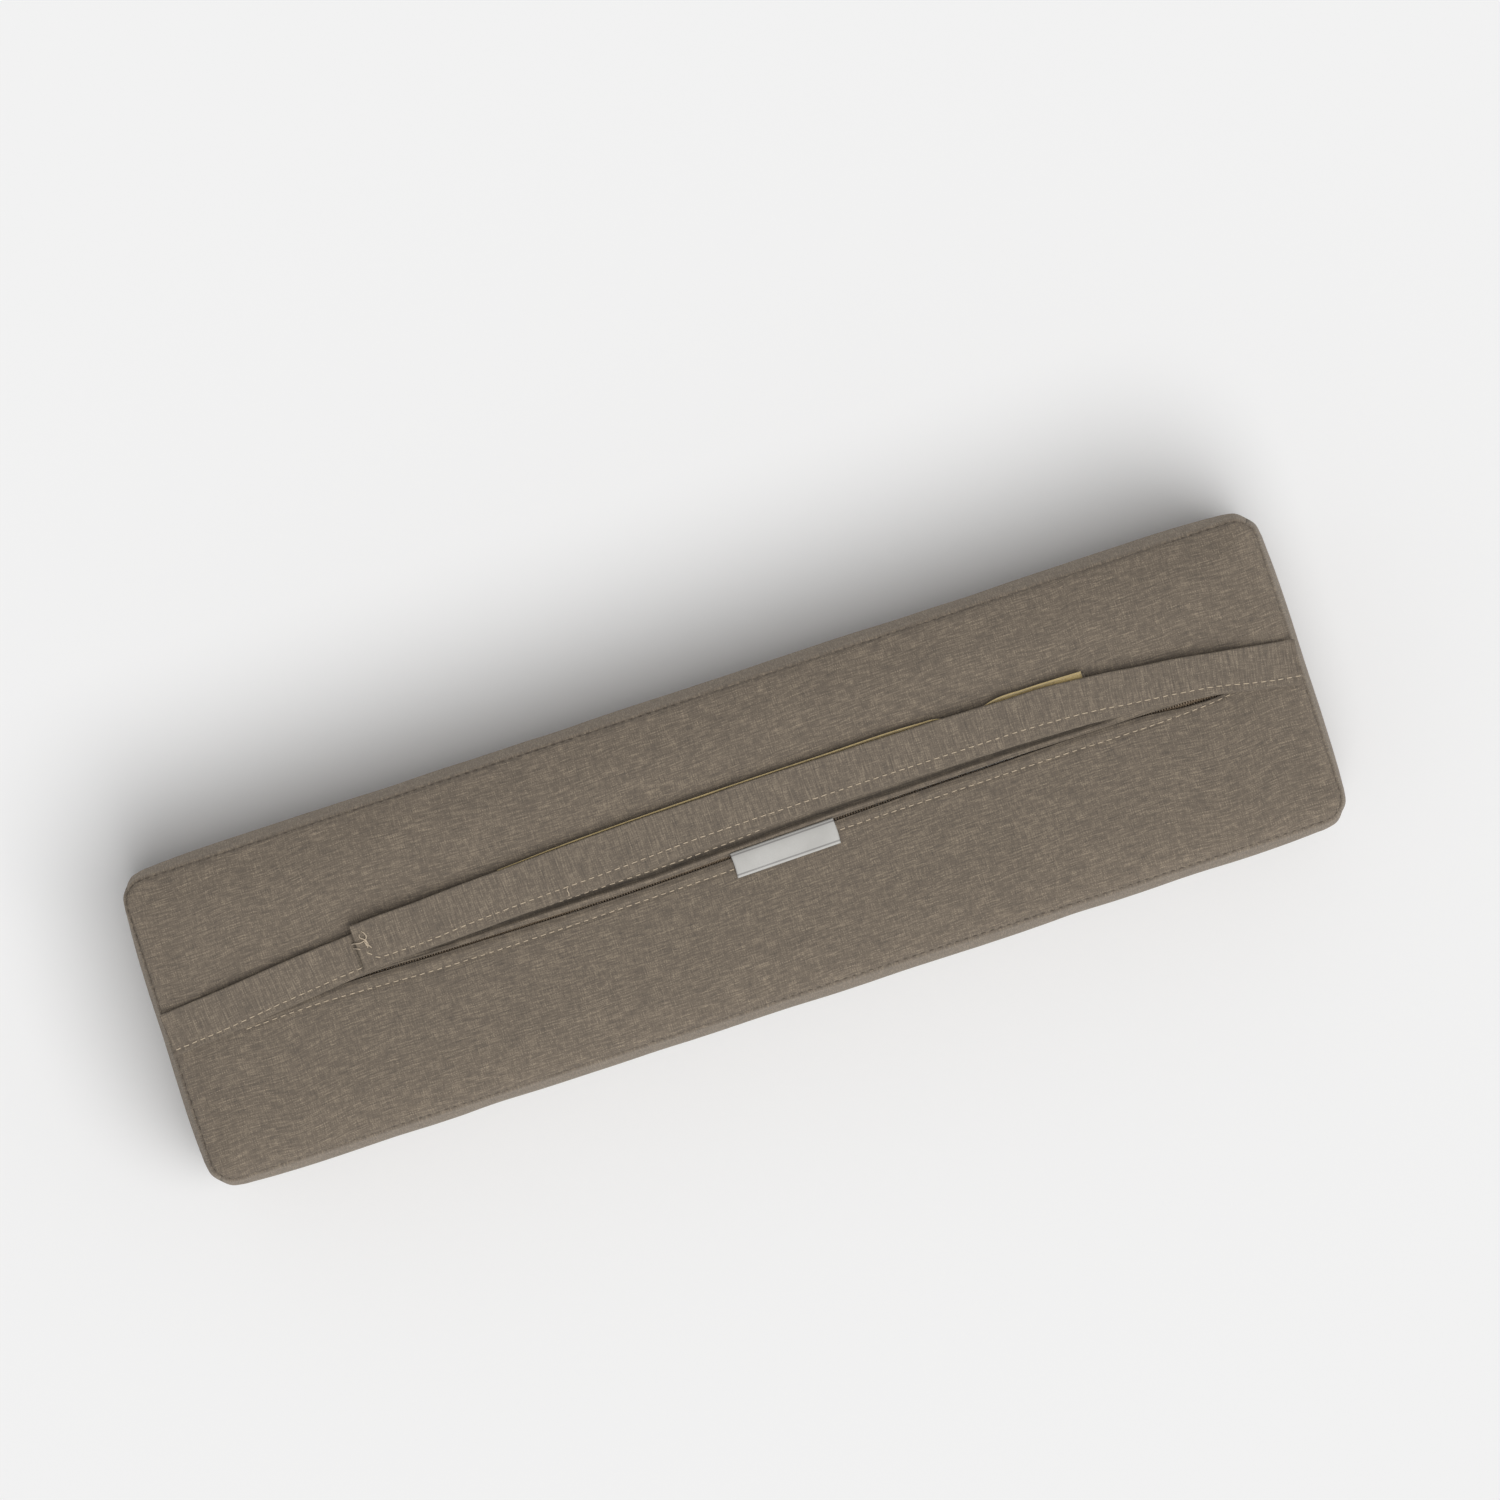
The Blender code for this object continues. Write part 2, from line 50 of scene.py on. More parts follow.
# ---------------------------------------------------------------- cover: the stuffed form
# The cover is sewn from a back, a front, two long boxing strips and two end panels. Over the
# foam it swells between its seams, which hold their line, so the seams are held here while
# air pressure swells the cloth.

flat_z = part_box("back_panel_upper")[1][2]
seam_x, seam_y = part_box("front_panel")[1][0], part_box("front_panel")[1][1]
seam_low, seam_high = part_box("boxing_upper")[0][2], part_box("boxing_upper")[1][2]
side_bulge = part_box("boxing_upper")[1][1] - seam_y
end_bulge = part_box("end_panel_right")[1][0] - seam_x
corner = 11 * MM        # plan radius of the seam at a corner
roll = 25 * MM          # how far in from its seam a panel is flat
cell = 4 * MM           # cloth cell for the swelling
start_bulge = 0.45      # share of the bulge before it swells
panel_play = 1.2 * MM   # how far the faces may swell
wall_play = 0.9         # how far the walls may swell, as a share of the bulge
swell_frames = 20


def unit(ways):
    """Directions brought to length one."""
    return ways / np.maximum(np.linalg.norm(ways, axis=-1, keepdims=True), 1e-12)


def edge_distance(x, y):
    """How far points lie in from the seam line, in plan."""
    px, py = np.abs(x) - (seam_x - corner), np.abs(y) - (seam_y - corner)
    out = np.hypot(np.maximum(px, 0), np.maximum(py, 0))
    return corner - np.where((px > 0) & (py > 0), out, np.maximum(px, py))


def dropped(x, y, drop):
    short = 1 - np.clip(edge_distance(x, y) / roll, 0, 1)
    return drop * short * short


straight = np.linspace(-(seam_x - corner), seam_x - corner, round(2 * (seam_x - corner) / cell) + 1)
turns = np.radians([22.5, 45, 67.5, 90])
round_x = seam_x - corner + corner * np.sin(turns)
column_x = np.concatenate([-round_x[::-1], straight, round_x])
column_half = seam_y - corner + corner * np.cos(turns)
column_half = np.concatenate([column_half[::-1], np.full(len(straight), seam_y), column_half])
row_share = np.linspace(-1, 1, round(2 * seam_y / cell) + 1)
height_count = round((seam_high - seam_low) / cell)

plan_x = np.repeat(column_x[:, None], len(row_share), axis=1)
plan_y = column_half[:, None] * row_share[None, :]
back_form = np.stack([plan_x, plan_y, flat_z - dropped(plan_x, plan_y, flat_z - seam_high)], -1)
front_form = np.stack([plan_x, plan_y, dropped(plan_x, plan_y, seam_low)], -1)
columns, rows = plan_x.shape
loop = [(i, 0) for i in range(columns)] + [(columns - 1, j) for j in range(1, rows)]
loop += [(i, rows - 1) for i in range(columns - 2, -1, -1)] + [(0, j) for j in range(rows - 2, 0, -1)]
loop_i, loop_j = np.array(loop).T
rim = np.stack([plan_x[loop_i, loop_j], plan_y[loop_i, loop_j]], -1)
inner = np.clip(rim, [-(seam_x - corner), -(seam_y - corner)], [seam_x - corner, seam_y - corner])
outward = unit(rim - inner)
# the left end is fullest towards its lower corner, and the right one towards its upper corner
fuller = 1 + np.where(rim[:, 0] < 0, -0.36, 0.22) * outward[:, 0] ** 2 * rim[:, 1] / (60 * MM)
bulge = (side_bulge * outward[:, 1] ** 2 + end_bulge * outward[:, 0] ** 2) * fuller
share_down = np.linspace(0, 1, height_count + 1)
swell = start_bulge * (1 - np.abs(2 * share_down - 1) ** 2.4)
wall_plan = rim[:, None] + outward[:, None] * (bulge[:, None] * swell[None, :])[..., None]
wall_z = np.broadcast_to(seam_high + (seam_low - seam_high) * share_down, wall_plan.shape[:2])
wall_form = np.concatenate([wall_plan, wall_z[..., None]], -1)

# every point once: the back, the front, then the wall between the two seams
back_number = np.arange(columns * rows).reshape(columns, rows)
front_number = back_number + columns * rows
between = np.arange(len(loop) * (height_count - 1)).reshape(len(loop), -1) + 2 * columns * rows
wall_number = np.concatenate(
    [back_number[loop_i, loop_j][:, None], between, front_number[loop_i, loop_j][:, None]], axis=1
)
form_points = np.concatenate(
    [back_form.reshape(-1, 3), front_form.reshape(-1, 3), wall_form[:, 1:-1].reshape(-1, 3)]
)


def quads(number, closed=False):
    """Four-sided faces between neighbouring rows and columns of point numbers."""
    if closed:
        number = np.concatenate([number, number[:1]])
    a, b, c, d = number[:-1, :-1], number[1:, :-1], number[1:, 1:], number[:-1, 1:]
    return np.stack([a, b, c, d], -1).reshape(-1, 4)


form_faces = np.concatenate([quads(back_number), quads(front_number)[:, ::-1], quads(wall_number, True)[:, ::-1]])


def in_scene(name, data):
    """A new object at the origin, linked to the scene."""
    made = bpy.data.objects.new(name, data)
    bpy.context.scene.collection.objects.link(made)
    return made


def mesh_of(name, points, faces):
    mesh = bpy.data.meshes.new(name)
    mesh.from_pydata(points.tolist(), [], faces.tolist())
    mesh.update()
    return mesh


def swollen(points, faces, held):
    """The points after some frames of air pressure, with the held points kept still."""
    cloth_piece = in_scene("swelling", mesh_of("swelling", points, faces))
    cloth_piece.vertex_groups.new(name="sewn").add([int(k) for k in held], 1.0, "REPLACE")
    cloth = cloth_piece.modifiers.new("swell", "CLOTH")
    weave_settings = {
        "quality": 6, "mass": 0.25, "tension_stiffness": 18, "compression_stiffness": 18, "shear_stiffness": 6,
        "bending_stiffness": 1.5, "shrink_min": -0.012, "use_pressure": True, "uniform_pressure_force": 4,
        "vertex_group_mass": "sewn",
    }
    for key, value in weave_settings.items():
        setattr(cloth.settings, key, value)
    cloth.settings.effector_weights.gravity = 0
    cloth.point_cache.frame_end = swell_frames
    for step in range(1, swell_frames + 1):
        bpy.context.scene.frame_set(step)
    shaped = cloth_piece.evaluated_get(bpy.context.evaluated_depsgraph_get())
    result = np.array([v.co for v in shaped.data.vertices])
    bpy.context.scene.frame_set(1)
    bpy.data.objects.remove(cloth_piece, do_unlink=True)
    return result


held = np.concatenate([wall_number[:, 0], wall_number[:, -1], back_number[:, rows // 2]])
moved = swollen(form_points, form_faces, held) - form_points

# how far each panel may move: little at the back and front, more at the boxing
most = np.full(len(form_points), panel_play)
most[wall_number[:, 1:-1]] = (bulge[:, None] * wall_play * np.ones(height_count + 1))[:, 1:-1]
far = np.linalg.norm(moved, axis=1)
print("swelling moved", round(float(far.max() / MM), 1), "mm at most, mean", round(float(far.mean() / MM), 2))
moved *= (most * (1 - np.exp(-far / most)) / np.maximum(far, 1e-9))[:, None]
for _ in range(24):
    # neighbours share the movement, which takes out creases smaller than the cloth's own
    total, number_of = np.zeros_like(moved), np.zeros(len(moved))
    for k in range(4):
        np.add.at(total, form_faces[:, k], moved[form_faces[:, (k + 1) % 4]] + moved[form_faces[:, k - 1]])
        np.add.at(number_of, form_faces[:, k], 2)
    free = np.ones(len(moved), bool)
    free[np.concatenate([wall_number[:, 0], wall_number[:, -1]])] = False
    moved[free] = 0.4 * moved[free] + 0.6 * (total / number_of[:, None])[free]
shaped_points = form_points + moved
# the straps press the back flat, and the front lies on what it rests on
under_straps = np.exp(-(((shaped_points[:, 1] - 9 * MM) / (26 * MM)) ** 4))
top_limit = flat_z + (0.9 - 1.1 * under_straps) * MM
shaped_points[:, 2] = np.clip(shaped_points[:, 2], 0.0, top_limit)
back_shape = shaped_points[back_number]
front_shape = shaped_points[front_number]
wall_shape = shaped_points[wall_number]

# ---------------------------------------------------------------- cover: the fabric
# The cover is an outdoor plain weave of heathered taupe yarns, matt, with short slubs along
# the warp. Each piece's map is in metres, with the warp along its first direction.


def group_tree(name, inputs, outputs, kind="ShaderNodeTree"):
    """A node group with named inputs and outputs: (name, socket type, value)."""
    tree = bpy.data.node_groups.new(name, kind)
    for label, socket_type, value in inputs:
        made = tree.interface.new_socket(label, in_out="INPUT", socket_type=socket_type)
        if value is not None:
            made.default_value = value
    for label, socket_type in outputs:
        tree.interface.new_socket(label, in_out="OUTPUT", socket_type=socket_type)
    return tree, tree.nodes.new("NodeGroupInput"), tree.nodes.new("NodeGroupOutput")


def add(tree, kind, *inputs, out=0, named=None, **settings):
    """A node with its settings, and its inputs by place or name: values or sockets. Returns an output."""
    node = tree.nodes.new(kind)
    for key, value in settings.items():
        setattr(node, key, value)
    for place, value in [*enumerate(inputs), *(named or {}).items()]:
        if isinstance(value, bpy.types.NodeSocket):
            tree.links.new(value, node.inputs[place])
        elif value is not None:
            node.inputs[place].default_value = value
    return node.outputs[out]


def maths(tree, operation, *values, clamp=False):
    return add(tree, "ShaderNodeMath", *values, operation=operation, use_clamp=clamp)


def mixed(tree, share, first, second):
    """Colour between two, by share."""
    return add(tree, "ShaderNodeMix", share, *[None] * 5, first, second, out=2, data_type="RGBA")


def stretched(tree, vector, stretch):
    return add(tree, "ShaderNodeVectorMath", vector, stretch, operation="MULTIPLY")


def scaled(tree, vector, amount):
    return add(tree, "ShaderNodeVectorMath", vector, operation="SCALE", named={"Scale": amount})


def noise_at(tree, vector, scale=1.0, detail=2.0, rough=0.55):
    named = {"Vector": vector, "Scale": scale, "Detail": detail, "Roughness": rough}
    return add(tree, "ShaderNodeTexNoise", named=named, out="Fac")


def bumped(look, height, strength, distance):
    """Gives a material's own shader a relief from a height."""
    tree = look.node_tree
    named = {"Strength": strength, "Distance": distance, "Height": height}
    tree.links.new(add(tree, "ShaderNodeBump", named=named), tree.nodes["Principled BSDF"].inputs["Normal"])


def plain_look(name, colour, rough, **settings):
    made = bpy.data.materials.new(name)
    made.use_nodes = True
    shader = made.node_tree.nodes["Principled BSDF"]
    for key, value in {"Base_Color": (*colour, 1), "Roughness": rough, **settings}.items():
        shader.inputs[key.replace("_", " ")].default_value = value
    return made


def build_weave():
    """Plain weave: colour, thread height and a fleck mask from a position in metres."""
    tree, start, end = group_tree(
        "plain weave",
        [("Position", "NodeSocketVector", None), ("Yarn", "NodeSocketFloat", 0.00055),
         ("Ground", "NodeSocketColor", (0.2, 0.16, 0.12, 1)), ("Dark Fleck", "NodeSocketColor", (0.1, 0.08, 0.06, 1)),
         ("Light Fleck", "NodeSocketColor", (0.4, 0.34, 0.27, 1)), ("Heather", "NodeSocketFloat", 0.5)],
        [("Color", "NodeSocketColor"), ("Height", "NodeSocketFloat"), ("Fleck", "NodeSocketFloat")],
    )
    position, yarn = start.outputs["Position"], start.outputs["Yarn"]
    apart = add(tree, "ShaderNodeSeparateXYZ", position).node
    across = [maths(tree, "DIVIDE", apart.outputs[k], yarn) for k in (0, 1)]
    number = [maths(tree, "FLOOR", a) for a in across]
    local = [maths(tree, "SUBTRACT", maths(tree, "FRACT", a), 0.5) for a in across]
    warp_on_top = maths(tree, "PINGPONG", maths(tree, "ADD", *number), 1.0)
    heights, streaks = [], []
    for along, over in ((0, 1), (1, 0)):
        # a thread is round across and dips at both ends of each float
        crown = maths(tree, "SUBTRACT", 1.0, maths(tree, "POWER", maths(tree, "MULTIPLY", local[over], 2.0), 2.0))
        bend = maths(tree, "COSINE", maths(tree, "MULTIPLY", local[along], math.pi))
        heights.append(maths(tree, "MULTIPLY", crown, maths(tree, "MULTIPLY_ADD", bend, 0.55, 0.45)))
        # colour runs along each yarn in streaks of its own
        run = maths(tree, "MULTIPLY", apart.outputs[along], (120.0, 260.0)[along])
        lane = maths(tree, "MULTIPLY", number[over], 7.31)
        spot = add(tree, "ShaderNodeCombineXYZ", run, lane, 3.0 * along)
        streaks.append(noise_at(tree, spot))
    height = add(tree, "ShaderNodeMix", warp_on_top, None, heights[1], heights[0])
    streak = add(tree, "ShaderNodeMix", warp_on_top, None, streaks[1], streaks[0])
    # longer, softer slubs along the warp and the weft, a few yarns wide, and slow changes of dye
    slub = noise_at(tree, stretched(tree, position, (125.0, 1450.0, 125.0)))
    pick = noise_at(tree, stretched(tree, position, (1250.0, 170.0, 170.0)))
    slow = noise_at(tree, stretched(tree, position, (40.0, 95.0, 40.0)), 1.0, 4.0, 0.6)
    tone = maths(tree, "MULTIPLY", streak, 0.62)
    for pattern, share in ((slub, 0.5), (pick, 0.26), (slow, 0.1)):
        tone = maths(tree, "ADD", tone, maths(tree, "MULTIPLY", pattern, share))
    tone = maths(tree, "SUBTRACT", tone, 0.74)
    swing = maths(tree, "MULTIPLY", tone, maths(tree, "MULTIPLY", start.outputs["Heather"], 6.6))
    light = maths(tree, "MAXIMUM", swing, 0.0, clamp=True)
    dark = maths(tree, "MULTIPLY", swing, -1.0, clamp=True)
    colour = mixed(tree, dark, start.outputs["Ground"], start.outputs["Dark Fleck"])
    colour = mixed(tree, light, colour, start.outputs["Light Fleck"])
    # the gaps between threads are in shade
    gap = maths(tree, "MULTIPLY_ADD", height, 0.42, 0.68, clamp=True)
    tree.links.new(scaled(tree, colour, gap), end.inputs["Color"])
    tree.links.new(height, end.inputs["Height"])
    tree.links.new(maths(tree, "ADD", swing, 0.5, clamp=True), end.inputs["Fleck"])
    return tree


weave = build_weave()


def fabric(name, ground, dark, light, yarn=0.55 * MM, heather=0.5, rough=0.92, sheen=0.2, bump=0.10 * MM):
    """A woven material whose pattern follows the piece's own map."""
    made = plain_look(name, ground, rough, Specular_IOR_Level=0.25, Sheen_Weight=sheen, Sheen_Roughness=0.45,
                      Sheen_Tint=(1.0, 0.88, 0.74, 1))
    tree = made.node_tree
    shader = tree.nodes["Principled BSDF"]
    named = {"Position": add(tree, "ShaderNodeUVMap", uv_map="weave"), "Yarn": yarn, "Ground": (*ground, 1),
             "Dark Fleck": (*dark, 1), "Light Fleck": (*light, 1), "Heather": heather}
    cloth = add(tree, "ShaderNodeGroup", node_tree=weave, named=named).node.outputs
    # the colour carries each piece's painted shading: painted shade down in seams, stitch grooves and the strap's
    # shadow, painted highlights on the fold lips, painted sheen on the upper boxing strip, and paler rolls beside
    # seams
    painted_shading_value = add(tree, "ShaderNodeAttribute", attribute_name="painted_shading", out=2)
    colour = scaled(tree, cloth["Color"], maths(tree, "MULTIPLY_ADD", painted_shading_value, 0.5, 1.0))
    tree.links.new(colour, shader.inputs["Base Color"])
    tree.links.new(maths(tree, "MULTIPLY_ADD", cloth["Fleck"], -0.08, rough), shader.inputs["Roughness"])
    bumped(made, cloth["Height"], 0.7, bump)
    return made


cover_look = fabric("cover fabric", (0.190, 0.155, 0.120), (0.094, 0.082, 0.071), (0.41, 0.335, 0.245))

# ---------------------------------------------------------------- cover: the panels
# Each panel is cut 0.5 mm cloth. At a plain seam both cloths dip by 0.8 mm and pucker
# a little at each stitch, with a small roll beside the seam. Along the zip the back panels turn
# under in a fold.

stitch_pitch = 4.2 * MM
cloth_thick = 0.5 * MM
seam_depth = 0.8 * MM
seam_width = 1.0 * MM
fold_round = 0.6 * MM
seam_steps = np.array([0, 0.35, 0.7, 1.1, 1.6, 2.2, 3.0, 4.0, 5.3, 7.0, 9.5, 12.5]) * MM
zip_steps = np.array([0, 0.3, 0.7, 1.3, 2.0, 2.8, 3.6, 4.2, 4.7, 5.1, 5.5, 6.0, 6.8, 8.0, 10.0, 12.5]) * MM
# where the folded edges meet, and the two rows of topstitching beside them: (x, y) in mm
slot_line = ((-276, -4.1), (-240, -3.87), (-222, -3.75), (-180, -2.0), (-140, -2.7), (-100, -3.2), (-60, -3.6),
             (-20, -3.0), (20, -1.8), (60, -0.8), (110, 0.0), (170, 0.3), (200, 0.0), (219, -1.05), (240, -0.93),
             (276, -0.8))
lower_stitch = ((-276, -8.6), (-238, -8.2), (-205, -7.4), (-180, -8.2), (-150, -9.5), (-120, -9.8), (-50, -9.2),
                (0, -8.3), (50, -6.3), (100, -5.9), (150, -5.5), (215, -5.1), (230, -4.3), (240, -3.2), (276, -3.2))
upper_stitch = ((-276, 2.6), (-180, 2.6), (-90, 2.6), (-60, 2.8), (-20, 3.3), (5, 4.4), (25, 6.2), (60, 7.0),
                (150, 7.0), (276, 4.6))
# the valley between the upper fold and the strap that lies behind it
valley_line = ((-276, 1.0), (-200, 0.2), (-160, -0.1), (-130, 0.8), (-100, 1.1), (-70, 1.4), (-40, 1.1), (-20, 1.8),
               (20, 2.8), (50, 3.5), (80, 3.5), (110, 4.0), (170, 3.8), (190, 3.3), (225, 0.9), (276, 0.9))
# half the slot between the two folds, in mm: wider where the slider rests at either end
slot_open = ((-276, 0.03), (-244, 0.03), (-236, 1.1), (-224, 1.1), (-215, 0.35), (-165, 0.55), (-130, 0.4),
             (-95, 0.5), (-50, 0.5), (0, 0.6), (55, 0.6), (85, 0.45), (120, 0.45), (205, 0.45), (219, 1.1),
             (236, 1.1), (244, 0.03), (276, 0.03))


def smooth_line(points, x):
    """Values at x of a smooth curve through (x, value) points."""
    px, py = np.array(points, float).T
    slope = np.gradient(py, px)
    x = np.clip(x, px[0], px[-1])
    k = np.clip(np.searchsorted(px, x, side="right") - 1, 0, len(px) - 2)
    span = px[k + 1] - px[k]
    t = (x - px[k]) / span
    t2, t3 = t * t, t * t * t
    ends = (2 * t3 - 3 * t2 + 1) * py[k] + (3 * t2 - 2 * t3) * py[k + 1]
    return ends + ((t3 - 2 * t2 + t) * slope[k] + (t3 - t2) * slope[k + 1]) * span


def ease(t):
    t = np.clip(t, 0, 1)
    return t * t * (3 - 2 * t)


def lumps(p, size, seed=0):
    """Smooth unevenness from -1 to 1 at points p, with lumps about size across."""
    q = np.asarray(p, float) / size + seed * 17.3
    base = np.floor(q)
    f = q - base
    f = f * f * (3 - 2 * f)
    total = np.zeros(q.shape[:-1])
    for corner_at in np.ndindex(2, 2, 2):
        at = base + corner_at
        value = np.sin(at @ np.array([127.1, 311.7, 74.7]) + seed) * 43758.5453
        share = np.prod(np.where(np.array(corner_at) == 1, f, 1 - f), axis=-1)
        total += share * (value - np.floor(value))
    return 2 * total - 1


def line_y(points, x):
    return smooth_line(points, np.asarray(x) / MM) * MM


def spline(count, at):
    """Weights that read a smooth curve through count points at fractional places."""
    weights = np.zeros((len(at), count))
    low = np.clip(np.floor(at).astype(int), 0, count - 2)
    t = at - low
    shares = (
        (-t + 2 * t**2 - t**3) / 2, (2 - 5 * t**2 + 3 * t**3) / 2, (t + 4 * t**2 - 3 * t**3) / 2, (t**3 - t**2) / 2,
    )
    for k, share in zip((-1, 0, 1, 2), shares):
        where = low + k
        line = np.arange(len(at))
        inside = (where >= 0) & (where < count)
        np.add.at(weights, (line[inside], where[inside]), share[inside])
        # past an end the curve goes straight on
        for out, first, second in ((where < 0, 0, 1), (where >= count, count - 1, count - 2)):
            np.add.at(weights, (line[out], np.full(out.sum(), first)), 2 * share[out])
            np.add.at(weights, (line[out], np.full(out.sum(), second)), -share[out])
    return weights


def normals_of(grid):
    du, dv = np.gradient(grid, axis=0), np.gradient(grid, axis=1)
    return unit(np.cross(du, dv))


def hump(away, width):
    """One at nothing away, falling off smoothly over a width."""
    return np.exp(-((away / width) ** 2))


def walked(points, axis=0):
    """How far each point lies along its line."""
    return np.insert(np.cumsum(np.linalg.norm(np.diff(points, axis=axis), axis=-1), axis=axis), 0, 0, axis=axis)


def seam_run(x, y):
    """Run along the seam from the middle of a long side to the middle of an end."""
    px, py = np.abs(x) - (seam_x - corner), np.abs(y) - (seam_y - corner)
    turn = np.arctan2(np.maximum(px, 0), np.maximum(py, 1e-9))
    at_end = (px > py) & (py <= 0)
    end_run = seam_x - corner + corner * math.pi / 2 - py
    return np.where(at_end, end_run, np.minimum(np.abs(x), seam_x - corner) + corner * turn)


def seam_dip(away, run, place):
    """How far the cloth dips towards a seam, puckered at each stitch, and the roll beside it."""
    puckers = 1 + 0.35 * np.sin(2 * math.pi * run / stitch_pitch + 1.5 * lumps(place, 30 * MM, 3))
    uneven = 1 + 0.15 * lumps(place, 22 * MM, 5)
    dip = seam_depth * puckers * uneven * hump(away, seam_width)
    beside = 0.35 * MM * uneven * hump(away - 4.2 * MM, 2.2 * MM)
    ripple = 0.12 * MM * (puckers - 1) * hump(away, 6 * MM) * (away > 0.5 * seam_width)
    return dip - beside + ripple


def seam_shade_and_roll_tone(away, place):
    """Paler on the roll beside a seam, with painted shade down in the seam."""
    on_roll = hump(away - 3.5 * MM, 3 * MM) * (0.7 + 0.5 * lumps(place, 14 * MM, 9))
    return 0.2 * on_roll - 0.25 * hump(away, 0.6 * MM)


def relief_of(place):
    """Cloth never lies quite flat: long soft waves and small slack, pressed out under the straps."""
    slack = 0.30 * lumps(place, 75 * MM, 11) + 0.13 * lumps(place, 24 * MM, 13) + 0.05 * lumps(place, 9 * MM, 15)
    slack = slack * MM
    pressed = np.exp(-(((place[..., 1] - 9 * MM) / (26 * MM)) ** 4)) * (place[..., 2] > flat_z / 2)
    return np.where(slack > 0, slack * (1 - 0.85 * pressed), slack)


def link_mesh(name, points, faces, weave_map, painted_shading=None):
    """An object from points and faces, with its map in metres and its painted shading."""
    mesh = mesh_of(name, points, faces)
    layer = mesh.uv_layers.new(name="weave")
    corners = np.zeros(len(mesh.loops), np.int32)
    mesh.loops.foreach_get("vertex_index", corners)
    layer.data.foreach_set("uv", np.asarray(weave_map, np.float32)[corners].ravel())
    painted_shading_value = mesh.attributes.new("painted_shading", "FLOAT", "POINT")
    painted_shading_value.data.foreach_set("value", np.zeros(len(points), np.float32) if painted_shading is None else painted_shading.astype(np.float32))
    mesh.shade_smooth()
    return in_scene(name, mesh)


def made_plain(piece):
    """Applies a piece's modifiers, so that it is a plain mesh."""
    shown = piece.evaluated_get(bpy.context.evaluated_depsgraph_get())
    mesh = bpy.data.meshes.new_from_object(shown)
    piece.modifiers.clear()
    piece.data = mesh
    return piece


def belongs(piece, body, slot_name, *nodes):
    """The body a piece moves with, and the CAD nodes it replaces; slot_name is not used."""
    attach(piece, body)
    if nodes:
        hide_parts(*nodes)


def thickened(piece, thick, offset=-1):
    """Gives a sheet its thickness: inwards, or with offset 0 half each way."""
    wall = piece.modifiers.new("wall", "SOLIDIFY")
    wall.thickness, wall.offset = thick, offset
    return made_plain(piece)


def cut_panel(name, grid, weave_map, painted_shading, flip, node):
    """A cloth panel from a grid of surface points, thickened inwards."""
    count = grid.shape[:2]
    faces = quads(np.arange(count[0] * count[1]).reshape(count))
    if flip:
        faces = faces[:, ::-1]
    piece = link_mesh(name, grid.reshape(-1, 3), faces, weave_map.reshape(-1, 2), painted_shading.ravel())
    thickened(piece, cloth_thick)
    piece.data.materials.append(cover_look)
    belongs(piece, "pillow", "cover_fabric", node)
    return piece


fine = np.arange(0, columns - 1 + 1e-6, 0.25)
fine_weights = spline(columns, fine)
fine_x = fine_weights @ column_x
fine_half = fine_weights @ column_half


def read_rows(shape, y):
    """Surface points at each fine column and the given y in each."""
    along = np.einsum("fc,crk->frk", fine_weights, shape)
    place = (y / fine_half[:, None] + 1) / 2 * (rows - 1)
    grid = np.empty((*y.shape, 3))
    for k in range(len(fine_x)):
        grid[k] = spline(rows, place[k]) @ along[k]
    return grid


def dressed(grid, plain_x, plain_y, up, extra=0.0):
    """Adds the seam's dip, the cloth's unevenness and extra relief to a back or front panel."""
    away, run = edge_distance(plain_x, plain_y), seam_run(plain_x, plain_y)
    own = normals_of(grid)
    own *= np.sign(own[..., 2:3]) * up
    inner = np.stack([np.clip(plain_x, -(seam_x - corner), seam_x - corner),
                      np.clip(plain_y, -(seam_y - corner), seam_y - corner)], -1)
    out = unit(np.stack([plain_x, plain_y], -1) - inner)
    at_seam = np.concatenate([out, np.full((*out.shape[:2], 1), float(up))], -1) / math.sqrt(2)
    share = ease(away / (4 * MM))[..., None]
    way = unit(own * share + at_seam * (1 - share))
    lift = relief_of(grid) * ease(away / (12 * MM)) - seam_dip(away, run, grid) + extra
    # with it, the painted shade in the seam and the paler roll beside it
    return grid + way * lift[..., None], seam_shade_and_roll_tone(away, grid)


def between_steps(start, end, near_start, near_end, middle):
    """Stations from start to end in each column: fixed steps near both edges, even ones between."""
    a, b = start[:, None] + near_start, end[:, None] - near_end[::-1]
    share = np.linspace(0, 1, middle + 2)[1:-1]
    return np.concatenate([a, a[:, -1:] + (b[:, :1] - a[:, -1:]) * share, b], axis=1)


sewn_to = 241.5 * MM                        # where the folds' topstitching ends
stop_at = 229 * MM                          # where the slider comes to rest
valley_ends = (-182 * MM, 194 * MM)         # the valley pressed in behind the upper fold


